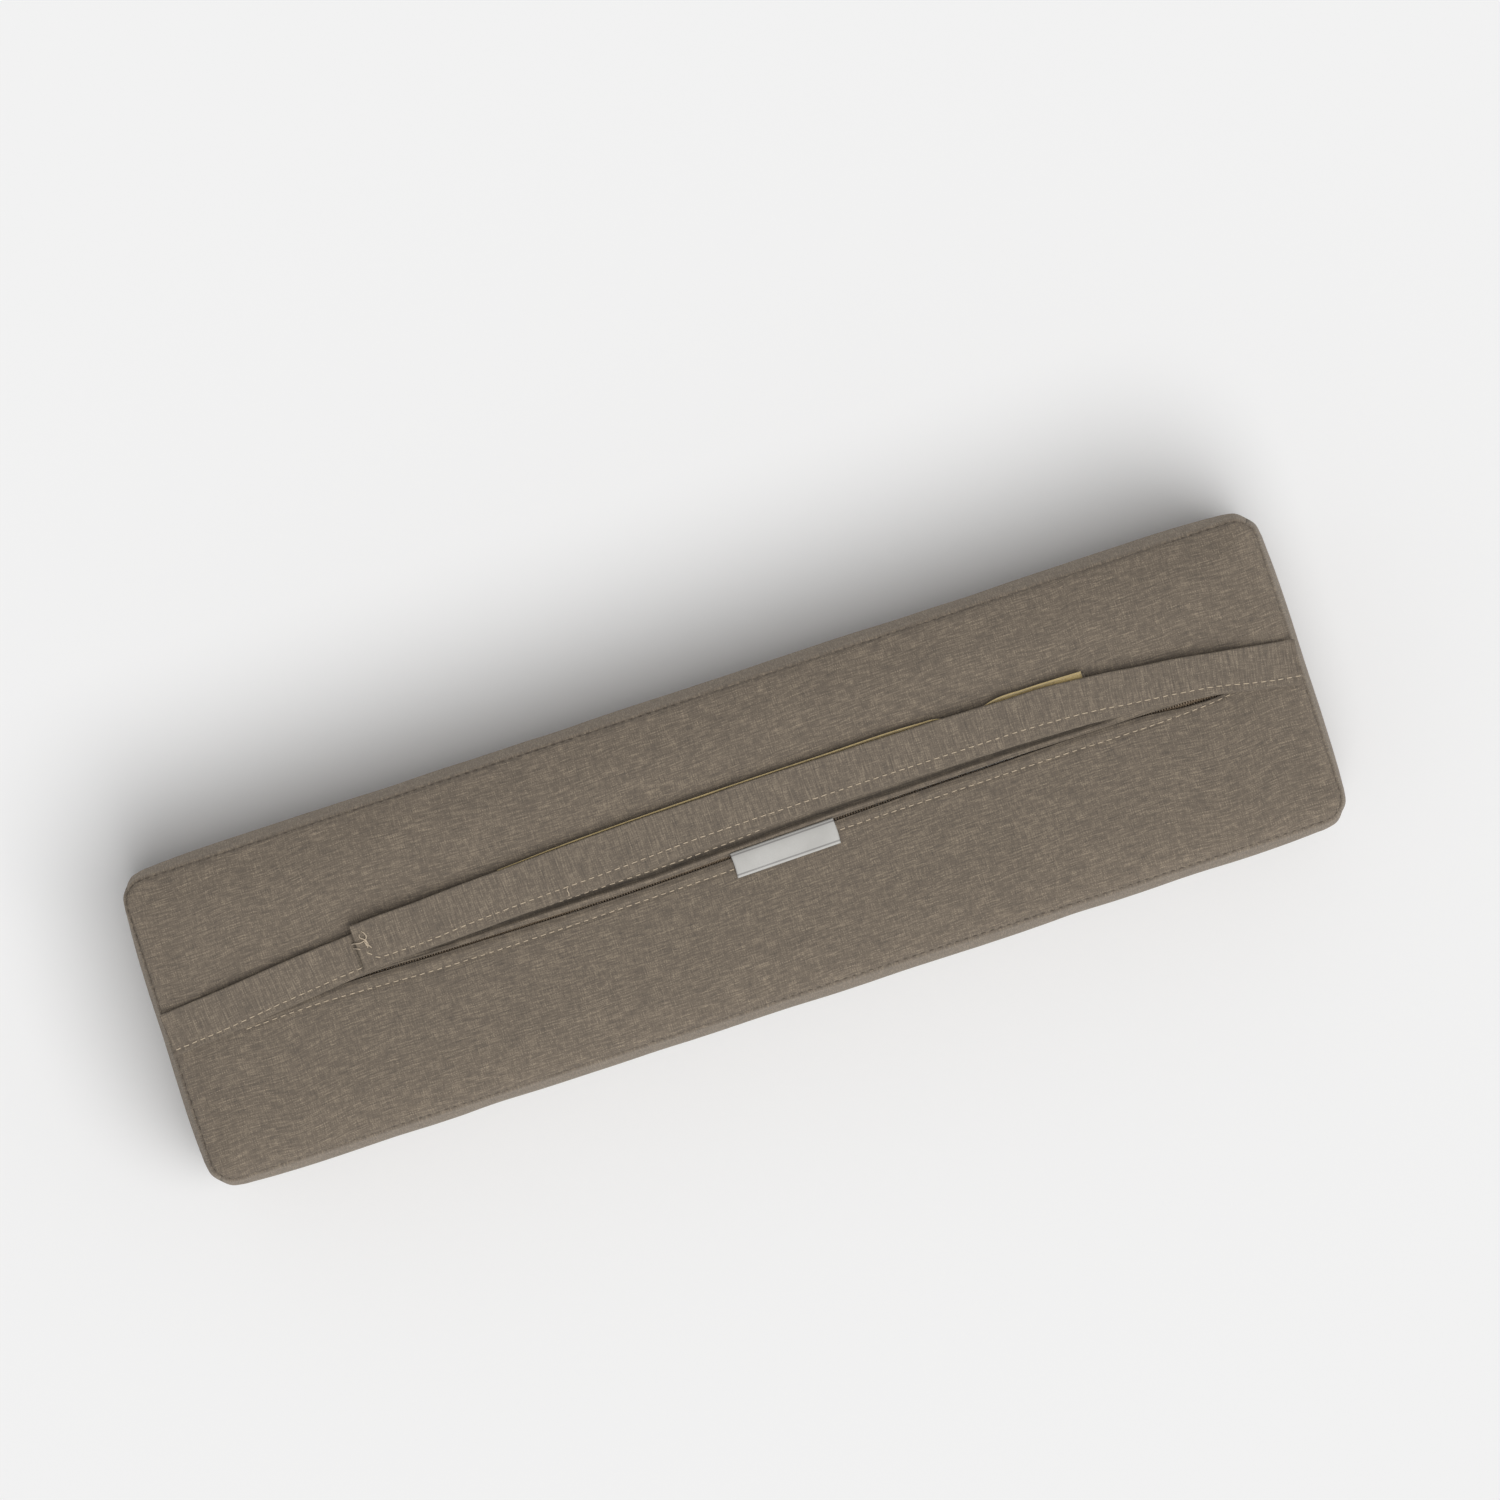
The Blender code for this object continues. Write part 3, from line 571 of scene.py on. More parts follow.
def back_panel(side, word, stitch_points):
    """The back panel above or below the zip, with its folded edge."""
    slot, opened = line_y(slot_line, fine_x), line_y(slot_open, fine_x)
    edge = side * slot + opened + fold_round
    y = between_steps(edge, fine_half, zip_steps, seam_steps, 18)
    signed = side * y
    grid = read_rows(back_shape, signed)
    x = np.broadcast_to(fine_x[:, None], y.shape)
    # the row of topstitching presses a shallow groove, deeper at each stitch
    from_stitch = side * (signed - line_y(stitch_points, fine_x)[:, None])
    pressed = 1 + 0.3 * np.sin(2 * math.pi * x / stitch_pitch)
    in_zip = ease((sewn_to - np.abs(x)) / (3 * MM))
    groove = -0.45 * MM * pressed * hump(from_stitch, 0.9 * MM) * in_zip
    from_valley = 9.0 if side < 0 else signed - line_y(valley_line, fine_x)[:, None]
    runs = ease((x - valley_ends[0]) / (45 * MM)) * ease((valley_ends[1] - x) / (18 * MM))
    groove = groove - 2.5 * MM * hump(from_valley, 1.35 * MM) * runs
    # painted shadow of the strap, darkest down in the valley behind the upper fold
    shade = hump(from_valley - 0.3 * MM, 1.3 * MM) * runs
    # away from the slider the lips sink a little towards the coil
    from_edge = y - edge[:, None]
    sunk = in_zip * (1 - hump(np.abs(x) - stop_at, 9 * MM))
    puff = 0.3 * MM * hump(from_edge - 2.4 * MM, 1.7 * MM) - 0.8 * MM * sunk * hump(from_edge, 1.2 * MM)
    grid, painted_shading = dressed(grid, x, signed, 1, groove + puff)
    # painted highlight on the lip just in from the fold, and painted shade right at its edge
    painted_shading = painted_shading + 0.3 * hump(from_edge - 1.2 * MM, 1.0 * MM) - 0.35 * hump(from_edge, 0.5 * MM)
    # painted shade in the stitching groove, and the strap's painted shadow in the valley
    painted_shading = painted_shading - 0.12 * hump(from_stitch, 0.8 * MM) - 1.4 * shade
    # the fold: round the edge and back underneath
    n, first, second = np.array([0.0, 0.0, 1.0]), grid[:, 0], np.array([0.0, -side, 0.0])
    centre = first - n * fold_round
    turns = np.radians((180, 150, 110, 80, 50, 25))
    under = [centre + fold_round * (math.cos(a) * n + math.sin(a) * second) for a in turns]
    # the upper fold is turned under by less, clear of the valley behind it
    turned = (0.7 * MM, 1.6 * MM) if side > 0 else (3 * MM, 7 * MM)
    for width in turned:
        under.insert(0, centre - fold_round * n - second * width)
    folds = np.stack(under, 1)
    grid = np.concatenate([folds, grid], axis=1)
    # a little painted shade on the underside of the fold
    painted_shading = np.concatenate([np.zeros(folds.shape[:2]) - 0.1, painted_shading], axis=1)
    run = walked(grid, 1)
    weave_map = np.stack([np.broadcast_to(fine_x[:, None], run.shape), side * run + 0.3 * (side + 1)], -1)
    return cut_panel(f"back_{word}", grid, weave_map, painted_shading, side < 0, f"back_panel_{word}")


back_upper = back_panel(1, "upper", upper_stitch)
back_lower = back_panel(-1, "lower", lower_stitch)

front_y = between_steps(-fine_half, fine_half, seam_steps, seam_steps, 34)
front_x = np.broadcast_to(fine_x[:, None], front_y.shape)
# the front's seams get painted shade, with paler rolls beside them
front_grid, front_shading = dressed(read_rows(front_shape, front_y), front_x, front_y, -1)
front_grid[..., 2] = np.maximum(front_grid[..., 2], 0.0)
cut_panel("front", front_grid, np.stack([front_x, front_y], -1), front_shading, True, "front_panel")


def edge_strip(name, first, last, node, painted_sheen=0.0):
    """A boxing strip or an end panel: the stretch of the wall between two corner seams."""
    numbers = np.arange(first, last + 1) % len(loop)
    coarse = wall_shape[numbers]
    at = np.arange(0, len(numbers) - 1 + 1e-6, 0.25)
    tall = seam_high - seam_low
    down = between_steps(np.zeros(1), np.full(1, tall), seam_steps, seam_steps, 12)[0]
    along = np.einsum("fc,crk->frk", spline(len(numbers), at), coarse)
    grid = np.einsum("hr,frk->fhk", spline(height_count + 1, down / tall * height_count), along)
    own = normals_of(grid)
    middle = own[len(at) // 2, len(down) // 2]
    if middle @ np.append(coarse[len(coarse) // 2, 0, :2], 0) < 0:
        own = -own
    flat = unit(own * [1, 1, 0])
    run = seam_run(along[:, 0, 0], along[:, 0, 1])[:, None] + 0 * down
    lift = relief_of(grid) * ease(np.minimum(down, tall - down) / (12 * MM))
    place = grid.copy()
    ways = own.copy()
    for depth, up in ((down, 1.0), (tall - down, -1.0)):
        lift = lift - seam_dip(depth[None, :], run, place)
        share = ease(depth / (4 * MM))[None, :, None]
        at_seam = (flat + np.array([0, 0, up])) / math.sqrt(2)
        ways = np.where(depth[None, :, None] < 4 * MM, own * share + at_seam * (1 - share), ways)
    ways = unit(ways)
    length = walked(along[:, 0])
    to_corner = np.minimum(length, length[-1] - length)[:, None] + 0 * down
    inside = ease(np.minimum(down, tall - down) / (3 * MM))[None, :]
    lift = lift - seam_dip(to_corner, down[None, :] + 0 * run, place) * 0.5 * inside
    # painted shade down in the seams at both edges and at the corners, paler rolls beside them, and the strip's
    # painted sheen
    painted_shading = seam_shade_and_roll_tone(down[None, :] + 0 * run, grid) + seam_shade_and_roll_tone(tall - down[None, :] + 0 * run, grid)
    painted_shading = painted_shading + seam_shade_and_roll_tone(to_corner, grid) * inside + painted_sheen
    grid = grid + ways * lift[..., None]
    grid[..., 2] = np.maximum(grid[..., 2], 0.0)
    weave_map = np.stack([np.broadcast_to(down, run.shape), length[:, None] + 0 * down], -1)
    return cut_panel(name, grid, weave_map + 0.7, painted_shading, True, node)


# the four corner seams stand halfway round each corner
lower_right, upper_right = columns - 3, columns - 1 + rows - 1 + 2
upper_left, lower_left = 2 * columns + rows - 2 - 3, len(loop) + 2
edge_strip("end_right", lower_right, upper_right, "end_panel_right")
# the upper boxing strip is painted paler: painted sheen where its cloth turns away at a grazing angle
edge_strip("boxing_upper_strip", upper_right, upper_left, "boxing_upper", 0.55)
edge_strip("end_left", upper_left, lower_left, "end_panel_left")
edge_strip("boxing_lower_strip", lower_left, len(loop) + lower_right, "boxing_lower")

# ---------------------------------------------------------------- inside: foam and fibre
# The filling is a block of pale upholstery foam with eased edges, in a wrap of white polyester
# wadding that takes up the slack between it and the cover.


def grained(look, first, second, scale, stretch=(1, 1, 1), relief=0.2 * MM, detail=4.0, rough=None):
    """Gives a material two colours and a relief that follow a grain fixed to the piece."""
    tree = look.node_tree
    shader = tree.nodes["Principled BSDF"]
    grain = noise_at(tree, stretched(tree, add(tree, "ShaderNodeTexCoord", out=3), stretch), scale, detail, 0.6)
    contrast = maths(tree, "MULTIPLY_ADD", grain, 2.4, -0.7, clamp=True)
    tree.links.new(mixed(tree, contrast, (*first, 1), (*second, 1)), shader.inputs["Base Color"])
    if rough:
        rougher = maths(tree, "MULTIPLY_ADD", grain, rough[1] - rough[0], rough[0])
        tree.links.new(rougher, shader.inputs["Roughness"])
    bumped(look, grain, 0.8, relief)
    return look


foam_look = grained(plain_look("foam", (0.75, 0.68, 0.5), 0.9), (0.8, 0.73, 0.55), (0.55, 0.48, 0.33), 900)
fibre_look = grained(
    plain_look("fibre", (0.85, 0.85, 0.83), 0.95, Sheen_Weight=0.4), (0.9, 0.9, 0.88), (0.72, 0.72, 0.7), 260,
    (1, 3, 3),
)


def filling(name, node, look, slot_name, lump, wall=0.0):
    """A soft block that fills a CAD box: the cover's own stuffed form, drawn in to that box."""
    low, high = (np.array(c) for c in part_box(node))
    own_low, own_high = form_points.min(0), form_points.max(0)
    points = low + (form_points - own_low) / (own_high - own_low) * (high - low)
    piece = link_mesh(name, points, form_faces, points[:, :2])
    pushed = np.array([v.normal for v in piece.data.vertices]) * (lumps(points, 40 * MM, 21)[:, None] - 1) * lump
    piece.data.vertices.foreach_set("co", (points + pushed).ravel())
    if wall:
        thickened(piece, wall)
    piece.data.materials.append(look)
    belongs(piece, "pillow", slot_name, node)


filling("foam_block", "foam_core", foam_look, "foam", 0.3 * MM)
filling("wadding", "fibre_wrap", fibre_look, "fibre", 0.5 * MM, 8 * MM)

# ---------------------------------------------------------------- zip: the tapes
# A dark brown coil zip is sewn under the folded edges. Its two woven polyester tapes carry the
# coils along their inner edges, and are seen only down in the slot.

zip_low, zip_high = (np.array(c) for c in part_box("zipper_coil_upper"))
zip_slope = math.tan(math.radians(0.35))
zip_y = (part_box("zipper_tape_upper")[1][1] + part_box("zipper_tape_lower")[0][1]) / 2
zip_middle_z = (zip_low[2] + zip_high[2]) / 2
half_zip = zip_high[0]
tape_width, tape_thick, coil_side = 12.5 * MM, 0.6 * MM, 1.95 * MM
tape_look = fabric("zip tape", (0.12, 0.092, 0.065), (0.08, 0.06, 0.045), (0.2, 0.155, 0.11), 0.4 * MM, 0.3, 0.8, 0.1)


def band(name, middle, across, level, thick, look, edge=0.35, rows_across=9, turned=False, sag=None):
    """A flat closed strip: middle (x, y) stations, half width across, level of its underside.

    Its long edges are rounded, and its map runs along it, or across it when turned.
    """
    middle = np.asarray(middle)
    way = unit(np.gradient(middle, axis=0))
    side = np.stack([-way[:, 1], way[:, 0]], -1)
    half = np.broadcast_to(across, len(middle))[:, None]
    base = np.broadcast_to(level, len(middle))[:, None]
    # round the section: across the top, round the edge, back underneath
    share = np.sin(np.linspace(-1, 1, rows_across) * math.pi / 2)
    edge_size = edge * thick / half
    top = share * (1 - edge_size)
    arc = np.radians(np.linspace(90, -90, 7))[1:-1]
    right = (1 - edge_size) + edge_size * np.cos(arc)
    section = np.concatenate([top, right, top[:, ::-1], -right], axis=1)
    height = [np.ones(rows_across), (1 + np.sin(arc)) / 2, np.zeros(rows_across), (1 - np.sin(arc)) / 2]
    height = np.concatenate(height)[None, :] * thick
    xy = middle[:, None] + side[:, None] * (section * half)[..., None]
    z = base + height + (0 if sag is None else sag(xy, section))
    ring = np.concatenate([xy, np.broadcast_to(z, xy.shape[:2])[..., None]], -1)
    count = ring.shape[:2]
    number = np.arange(count[0] * count[1]).reshape(count)
    around = np.concatenate([number, number[:, :1]], axis=1)
    faces = quads(around)[:, ::-1]
    run = walked(middle)
    lane = np.concatenate([top, right, 2 - top[:, ::-1], 2 + right[:, ::-1]], axis=1) * half
    flat = np.stack([np.broadcast_to(run[:, None], count), lane], -1)
    piece = link_mesh(name, ring.reshape(-1, 3), faces, (flat[..., ::-1] if turned else flat).reshape(-1, 2) + 0.31)
    shape = bmesh.new()
    shape.from_mesh(piece.data)
    shape.verts.ensure_lookup_table()
    # close each end across the section, pairing the top with the underside
    for line, way_round in ((0, 1), (-1, -1)):
        over, right_side, under, left_side = np.split(number[line], np.cumsum([rows_across, len(arc), rows_across]))
        under = under[::-1]
        close = [(over[k], over[k + 1], under[k + 1], under[k]) for k in range(rows_across - 1)]
        close += [(over[-1], *right_side, under[-1]), (under[0], *left_side, over[0])]
        for corners in close:
            shape.faces.new([shape.verts[c] for c in corners[::way_round]])
    bmesh.ops.recalc_face_normals(shape, faces=shape.faces)
    shape.to_mesh(piece.data)
    shape.free()
    piece.data.shade_smooth()
    piece.data.materials.append(look)
    return piece


def cut_flat(piece, body, node, slot_name):
    """A piece cut from flat stuff: the body it moves with, with its CAD node hidden."""
    belongs(piece, body, slot_name, node)


past_stop = 8 * MM      # how far each tape runs on past its end stop
for side, word in ((1, "upper"), (-1, "lower")):
    stations = np.linspace(-half_zip - past_stop, half_zip + past_stop, 160)
    middle = np.stack([stations, zip_y + zip_slope * stations + side * (coil_side + 0.3 * MM + tape_width / 2)], -1)
    tape = band(f"zip_tape_{word}", middle, tape_width / 2, zip_middle_z - tape_thick / 2, tape_thick, tape_look)
    cut_flat(tape, "pillow", f"zipper_tape_{word}", "zip_tape")

# ---------------------------------------------------------------- zip: the coils
# Each coil is one nylon wire wound into hooped teeth about 1.3 mm apart, sewn to its tape. The
# two rows mesh at the middle, half a step apart.

tooth_pitch = 1.3 * MM
wire = 0.36 * MM
coil_look = grained(
    plain_look("coil nylon", (0.32, 0.24, 0.165), 0.42, Coat_Weight=0.15), (0.36, 0.27, 0.185), (0.24, 0.18, 0.12),
    320, relief=0.03 * MM, rough=(0.36, 0.5),
)


def tube(points, radius, sides=6):
    """Points and faces of a closed round tube along points, thinner at its two ends."""
    points = np.asarray(points, float)
    way = unit(np.gradient(points, axis=0))
    up = np.array([1.0, 0, 0]) if abs(way[0][0]) < 0.7 else np.array([0, 0, 1.0])
    rings = []
    for k, (p, w) in enumerate(zip(points, way)):
        up = unit(up - w * (up @ w))
        other = np.cross(w, up)
        size = radius * (0.6 if k in (0, len(points) - 1) else 1.0)
        turn = np.arange(sides) * 2 * math.pi / sides
        rings.append(p + size * (np.cos(turn)[:, None] * up + np.sin(turn)[:, None] * other))
    count = len(points)
    number = np.arange(count * sides).reshape(count, sides)
    around = np.concatenate([number, number[:, :1]], axis=1)
    faces = [list(f) for f in quads(around)[:, ::-1]]
    faces += [list(number[0]), list(number[-1][::-1])]
    return np.concatenate(rings), faces


def tube_mesh(name, lines, radius, sides=6):
    """One mesh of several tubes, faces outwards."""
    points, faces, start = [], [], 0
    for line in lines:
        p, f = tube(line, radius, sides)
        points.append(p)
        faces += [[int(c) + start for c in face] for face in f]
        start += len(p)
    mesh = bpy.data.meshes.new(name)
    mesh.from_pydata(np.concatenate(points).tolist(), [], faces)
    shape = bmesh.new()
    shape.from_mesh(mesh)
    bmesh.ops.recalc_face_normals(shape, faces=shape.faces)
    shape.to_mesh(mesh)
    shape.free()
    mesh.shade_smooth()
    return mesh


def geometry_group(name, inputs):
    return group_tree(name, [("Geometry", "NodeSocketGeometry", None), *inputs], [("Geometry", "NodeSocketGeometry")],
                      "GeometryNodeTree")


def build_repeat():
    """Sets a piece along a line at an even step, each turned to the line and a little uneven."""
    tree, start, end = geometry_group(
        "set along a line",
        [("Piece", "NodeSocketObject", None), ("Step", "NodeSocketFloat", 0.004),
         ("Size Play", "NodeSocketFloat", 0.1), ("Turn Play", "NodeSocketFloat", 0.05), ("Seed", "NodeSocketInt", 1),
         ("Material", "NodeSocketMaterial", None)],
    )
    given = start.outputs
    line = add(tree, "GeometryNodeMeshToCurve", given["Geometry"])
    evened = add(tree, "GeometryNodeResampleCurve", mode="LENGTH", named={"Curve": line, "Length": given["Step"]})
    tangent = add(tree, "GeometryNodeInputTangent")
    aligned = add(tree, "FunctionNodeAlignRotationToVector", axis="X", pivot_axis="AUTO", named={"Vector": tangent})
    piece = add(tree, "GeometryNodeObjectInfo", named={"Object": given["Piece"]}, out="Geometry")

    def play(low, high, more):
        named = {"Min": low, "Max": high, "Seed": maths(tree, "ADD", given["Seed"], more)}
        return add(tree, "FunctionNodeRandomValue", data_type="FLOAT", named=named, out="Value")

    least, greatest = (maths(tree, way, 1.0, given["Size Play"]) for way in ("SUBTRACT", "ADD"))
    size = add(tree, "ShaderNodeCombineXYZ", play(least, greatest, 0.0), 1.0, 1.0)
    back = maths(tree, "MULTIPLY", given["Turn Play"], -1.0)
    turn = add(tree, "ShaderNodeCombineXYZ", 0.0, 0.0, play(back, given["Turn Play"], 7.0))
    turned = add(tree, "FunctionNodeRotateRotation", aligned, turn, rotation_space="LOCAL")
    named = {"Points": evened, "Instance": piece, "Rotation": turned, "Scale": size}
    real = add(tree, "GeometryNodeRealizeInstances", add(tree, "GeometryNodeInstanceOnPoints", named=named))
    finished = add(tree, "GeometryNodeSetMaterial", named={"Geometry": real, "Material": given["Material"]})
    tree.links.new(finished, end.inputs["Geometry"])
    return tree


repeat = build_repeat()


def set_along(name, lines, pattern, step, look, size_play=0.1, turn_play=0.05, seed=1):
    """A plain mesh of the pattern piece set along each line of points."""
    mesh = bpy.data.meshes.new(name)
    points, edges = [], []
    for line in lines:
        first = len(points)
        points += [tuple(p) for p in np.asarray(line, float)]
        edges += [(k, k + 1) for k in range(first, len(points) - 1)]
    mesh.from_pydata(points, edges, [])
    piece = in_scene(name, mesh)
    made = piece.modifiers.new("set", "NODES")
    made.node_group = repeat
    values = {"Piece": pattern, "Step": step, "Size Play": size_play, "Turn Play": turn_play, "Seed": seed,
              "Material": look}
    for item in repeat.interface.items_tree:
        if item.in_out == "INPUT" and item.name in values:
            made[item.identifier] = values[item.name]
    made_plain(piece)
    piece.data.shade_smooth()
    return piece


hoop = [(0, 1.95, -0.62), (0.02, 1.1, -0.70), (0.08, 0.2, -0.66), (0.16, -0.32, -0.34), (0.22, -0.42, 0.1),
        (0.28, -0.22, 0.5), (0.36, 0.5, 0.70), (0.5, 1.3, 0.70), (0.62, 1.95, 0.5)]
for side, word in ((1, "upper"), (-1, "lower")):
    line = np.array(hoop) * MM * [1, side, 1]
    pattern = bpy.data.objects.new("tooth", tube_mesh("tooth", [line], wire, 5))
    stations = np.array([-half_zip, half_zip]) + (0.5 * tooth_pitch if side < 0 else 0)
    path = [(x, zip_y + zip_slope * x, zip_middle_z) for x in stations]
    coil = set_along(f"coil_{word}", [path], pattern, tooth_pitch, coil_look, 0.02, 0.01)
    belongs(coil, "pillow", "zip_coil", f"zipper_coil_{word}")
    bpy.data.objects.remove(pattern, do_unlink=True)

# ---------------------------------------------------------------- zip: slider, pull and stops
# The slider, its flat pull and the crimped end stops are small zinc castings with a dark bronze
# finish in two mottled tones.

metal_look = grained(
    plain_look("bronze zinc", (0.22, 0.17, 0.12), 0.34, Metallic=0.9), (0.26, 0.2, 0.14), (0.13, 0.1, 0.075), 420,
    relief=0.02 * MM, rough=(0.28, 0.5),
)
for node in ("zipper_slider", "zipper_pull", "zipper_stop_left", "zipper_stop_right"):
    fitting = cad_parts[node]
    fitting.data.materials.clear()
    fitting.data.materials.append(metal_look)

# ---------------------------------------------------------------- straps
# Two straps of the cover's own cloth, folded lengthways to about 20 mm with the fold uppermost,
# topstitched along the lower edge and caught in the end seams. The right one lies over the left.

strap_thick = 1.6 * MM
strap_look = fabric("strap fabric", (0.192, 0.157, 0.122), (0.096, 0.084, 0.073), (0.40, 0.33, 0.245), heather=0.5)
left_top = ((-275, 10.2), (-250, 12.4), (-215, 15.6), (-180, 18.4), (-150, 20.8), (-110, 23.8), (-60, 26.4),
            (0, 27.7), (60, 27.8), (120, 27.6), (178.5, 27.6))
left_low = ((-275, -9.8), (-250, -8.3), (-215, -4.6), (-180, -1.2), (-150, 1.2), (-110, 4.0), (-60, 6.6), (0, 8.0),
            (60, 8.2), (120, 8.0), (178.5, 8.0))
right_top = ((-179, 22.1), (-150, 23.2), (-110, 25.0), (-80, 26.0), (-40, 27.1), (0, 27.8), (50, 28.1), (100, 27.8),
             (140, 27.1), (160, 26.8), (180, 25.2), (200, 23.0), (220, 20.5), (237, 18.0), (257, 15.0), (274.5, 12.4))
right_low = ((-179, 0.2), (-150, 0.6), (-110, 1.9), (-60, 3.2), (0, 5.2), (50, 5.8), (100, 5.6), (150, 4.8),
             (180, 3.6), (210, 1.2), (237, -2.0), (257, -6.0), (274.5, -9.4))
left_stitch = ((-272, -7.2), (-250, -5.4), (-215, -1.4), (-180, 2.0), (-150, 4.4), (-110, 7.2), (0, 11.2),
               (120, 11.2), (176, 11.2))
right_stitch = ((-170.5, 4.0), (-148, 4.3), (-125, 6.0), (-95, 7.4), (-50, 8.8), (-15, 10.4), (30, 11.0), (110, 11.1),
                (150, 10.8), (178, 9.2), (195, 7.2), (217, 4.8), (237, 2.0), (250, -1.0), (262, -3.4), (273, -5.0))


def cad_level(node):
    """(x, underside) along a CAD strap, from its own corners."""
    points = np.array([v.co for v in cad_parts[node].data.vertices])
    keys = np.round(points[:, 0] / (4 * MM)).astype(int)
    stations = [(points[keys == k][:, 0].mean(), points[keys == k][:, 2].min()) for k in np.unique(keys)]
    return np.array(stations).T


def strap_form(top_line, low_line, node, first, last, seed):
    """Stations, middle line, half width and level of a strap between two ends."""
    x = np.linspace(first, last, 420)
    high, low = line_y(top_line, x), line_y(low_line, x)
    middle = np.stack([x, (high + low) / 2], -1)
    slope = np.gradient((high + low) / 2, x)
    wave = lumps(np.stack([x, 0 * x, 0 * x], -1), 16 * MM, seed)
    half = (high - low) / 2 * np.cos(np.arctan(slope)) + 0.25 * MM * wave
    level_x, level = cad_level(node)
    level = np.interp(x, level_x, level)
    kernel = np.ones(25) / 25
    level = np.convolve(np.pad(level, 12, mode="edge"), kernel, "valid")
    return x, middle, half, level


def strap_relief(stitch_line, seed, pinch):
    """Soft waves, a groove with puckers along the stitching that fades at the tip, and small lumps beside it."""

    def relief(xy, section):
        p = np.concatenate([xy, 0 * xy[..., :1]], -1)
        wave = 0.28 * lumps(p * [1, 0.35, 1], 17 * MM, seed) + 0.22 * lumps(p * [1, 0.2, 1], 4.6 * MM, seed + 1)
        away = xy[..., 1] - line_y(stitch_line, xy[..., 0])
        over = (np.arange(section.shape[1]) < section.shape[1] // 2 - 2)[None, :]
        press = 1 + 0.35 * np.sin(2 * math.pi * xy[..., 0] / stitch_pitch)
        groove = -0.38 * press * hump(away, 0.8 * MM) * over
        beside = 0.22 * lumps(p * [1, 0.2, 1], 3.6 * MM, seed + 2) * hump(np.abs(away) - 2 * MM, 2.4 * MM) * over
        near_tip = ease((np.abs(xy[..., 0] - pinch) - 0.5 * MM) / (3 * MM))
        return (wave + groove * near_tip + beside + 0.1) * MM

    return relief


def strap(name, body, node, edges, stitch_line, ends, seed, pinch):
    """One strap between two ends, from its edge lines and its stitching. Returns it, its stations and its level."""
    x, middle, half, level = strap_form(*edges, node, *ends, seed)
    relief = strap_relief(stitch_line, seed + 2, pinch)
    piece = band(name, middle, half, level, strap_thick, strap_look, 0.5, 25, True, relief)
    cut_flat(piece, body, node, "cover_fabric")
    return piece, x, level


left_ends = -seam_x + 0.2 * MM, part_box("left_strap")[1][0]
left_strap, left_x, left_level = strap("left_strap_cloth", "pillow", "left_strap", (left_top, left_low), left_stitch,
                                       left_ends, 31, 178.5 * MM)
right_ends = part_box("right_strap")[0][0], seam_x - 0.4 * MM
right_strap, right_x, right_level = strap("right_strap_cloth", "strap_right", "right_strap", (right_top, right_low),
                                          right_stitch, right_ends, 41, -179 * MM)

# ---------------------------------------------------------------- hook and loop tapes
# A soft ochre loop tape is sewn along the top of the left strap, and the matching hook tape
# along the underside of the right strap. A little of the loop tape shows past the strap's edge.


def fuzz(name, first, second, scale, relief):
    look = plain_look(name, first, 0.95, Sheen_Weight=0.5)
    return grained(look, first, second, scale, (1, 1, 1), relief, 6.0)


loop_look = fuzz("loop tape", (0.56, 0.43, 0.20), (0.38, 0.285, 0.125), 1500, 0.5 * MM)
hook_look = fuzz("hook tape", (0.30, 0.235, 0.115), (0.17, 0.13, 0.06), 1100, 0.4 * MM)
loop_top = ((-106, 25.4), (-80, 26.9), (-40, 28.2), (0, 28.9), (50, 29.2), (100, 29.0), (106, 28.6), (109, 27.2),
            (131, 27.2), (136, 28.6), (150, 29.0), (165, 28.9), (178, 28.6))
shown_width = 19 * MM


def hold_tape(name, body, node, x, edge, level, look, rows_across, sag=None):
    """A hook or loop tape that hangs its width down from an edge line."""
    middle = np.stack([x, edge - shown_width / 2], -1)
    piece = band(name, middle, shown_width / 2, level, 1.0 * MM, look, 0.5, rows_across, sag=sag)
    cut_flat(piece, body, node, node)


def lifted_edge(xy, section):
    return 1.5 * MM * ease((section - 0.84) / 0.14)


loop_x, hook_x = np.linspace(-106 * MM, 177.5 * MM, 300), np.linspace(-177 * MM, 108 * MM, 300)
loop_level = np.interp(loop_x, left_x, left_level) + strap_thick + 0.35 * MM
hook_level = np.interp(hook_x, right_x, right_level) - 1.25 * MM
hold_tape("loop_tape_pile", "pillow", "loop_tape", loop_x, line_y(loop_top, loop_x), loop_level, loop_look, 41,
          lifted_edge)
hold_tape("hook_tape_ground", "strap_right", "hook_tape", hook_x, line_y(right_top, hook_x) - 1.0 * MM, hook_level,
          hook_look, 15)

# ---------------------------------------------------------------- label
# A plain satin label, about 50 by 12 mm, heat cut, is caught by its top edge in the zip seam and
# lies over the slot and the lower fold. Two fine woven lines border it.

label_look = plain_look("satin label", (0.66, 0.65, 0.62), 0.42, Sheen_Weight=0.2)
tree = label_look.node_tree
label_place = add(tree, "ShaderNodeSeparateXYZ", add(tree, "ShaderNodeUVMap", uv_map="weave"))
along_label, across_label = label_place.node.outputs[:2]
rib_pitch = 0.35 * MM
ribs = maths(tree, "SINE", maths(tree, "MULTIPLY", along_label, 2 * math.pi / rib_pitch))
near_lines = []
for line_at in (0.115, 0.885):
    from_line = maths(tree, "ABSOLUTE", maths(tree, "SUBTRACT", across_label, line_at))
    near_lines.append(maths(tree, "LESS_THAN", from_line, 0.03))
border = maths(tree, "MAXIMUM", *near_lines)
worn_satin = noise_at(tree, add(tree, "ShaderNodeTexCoord", out=3), 160, 3.0)
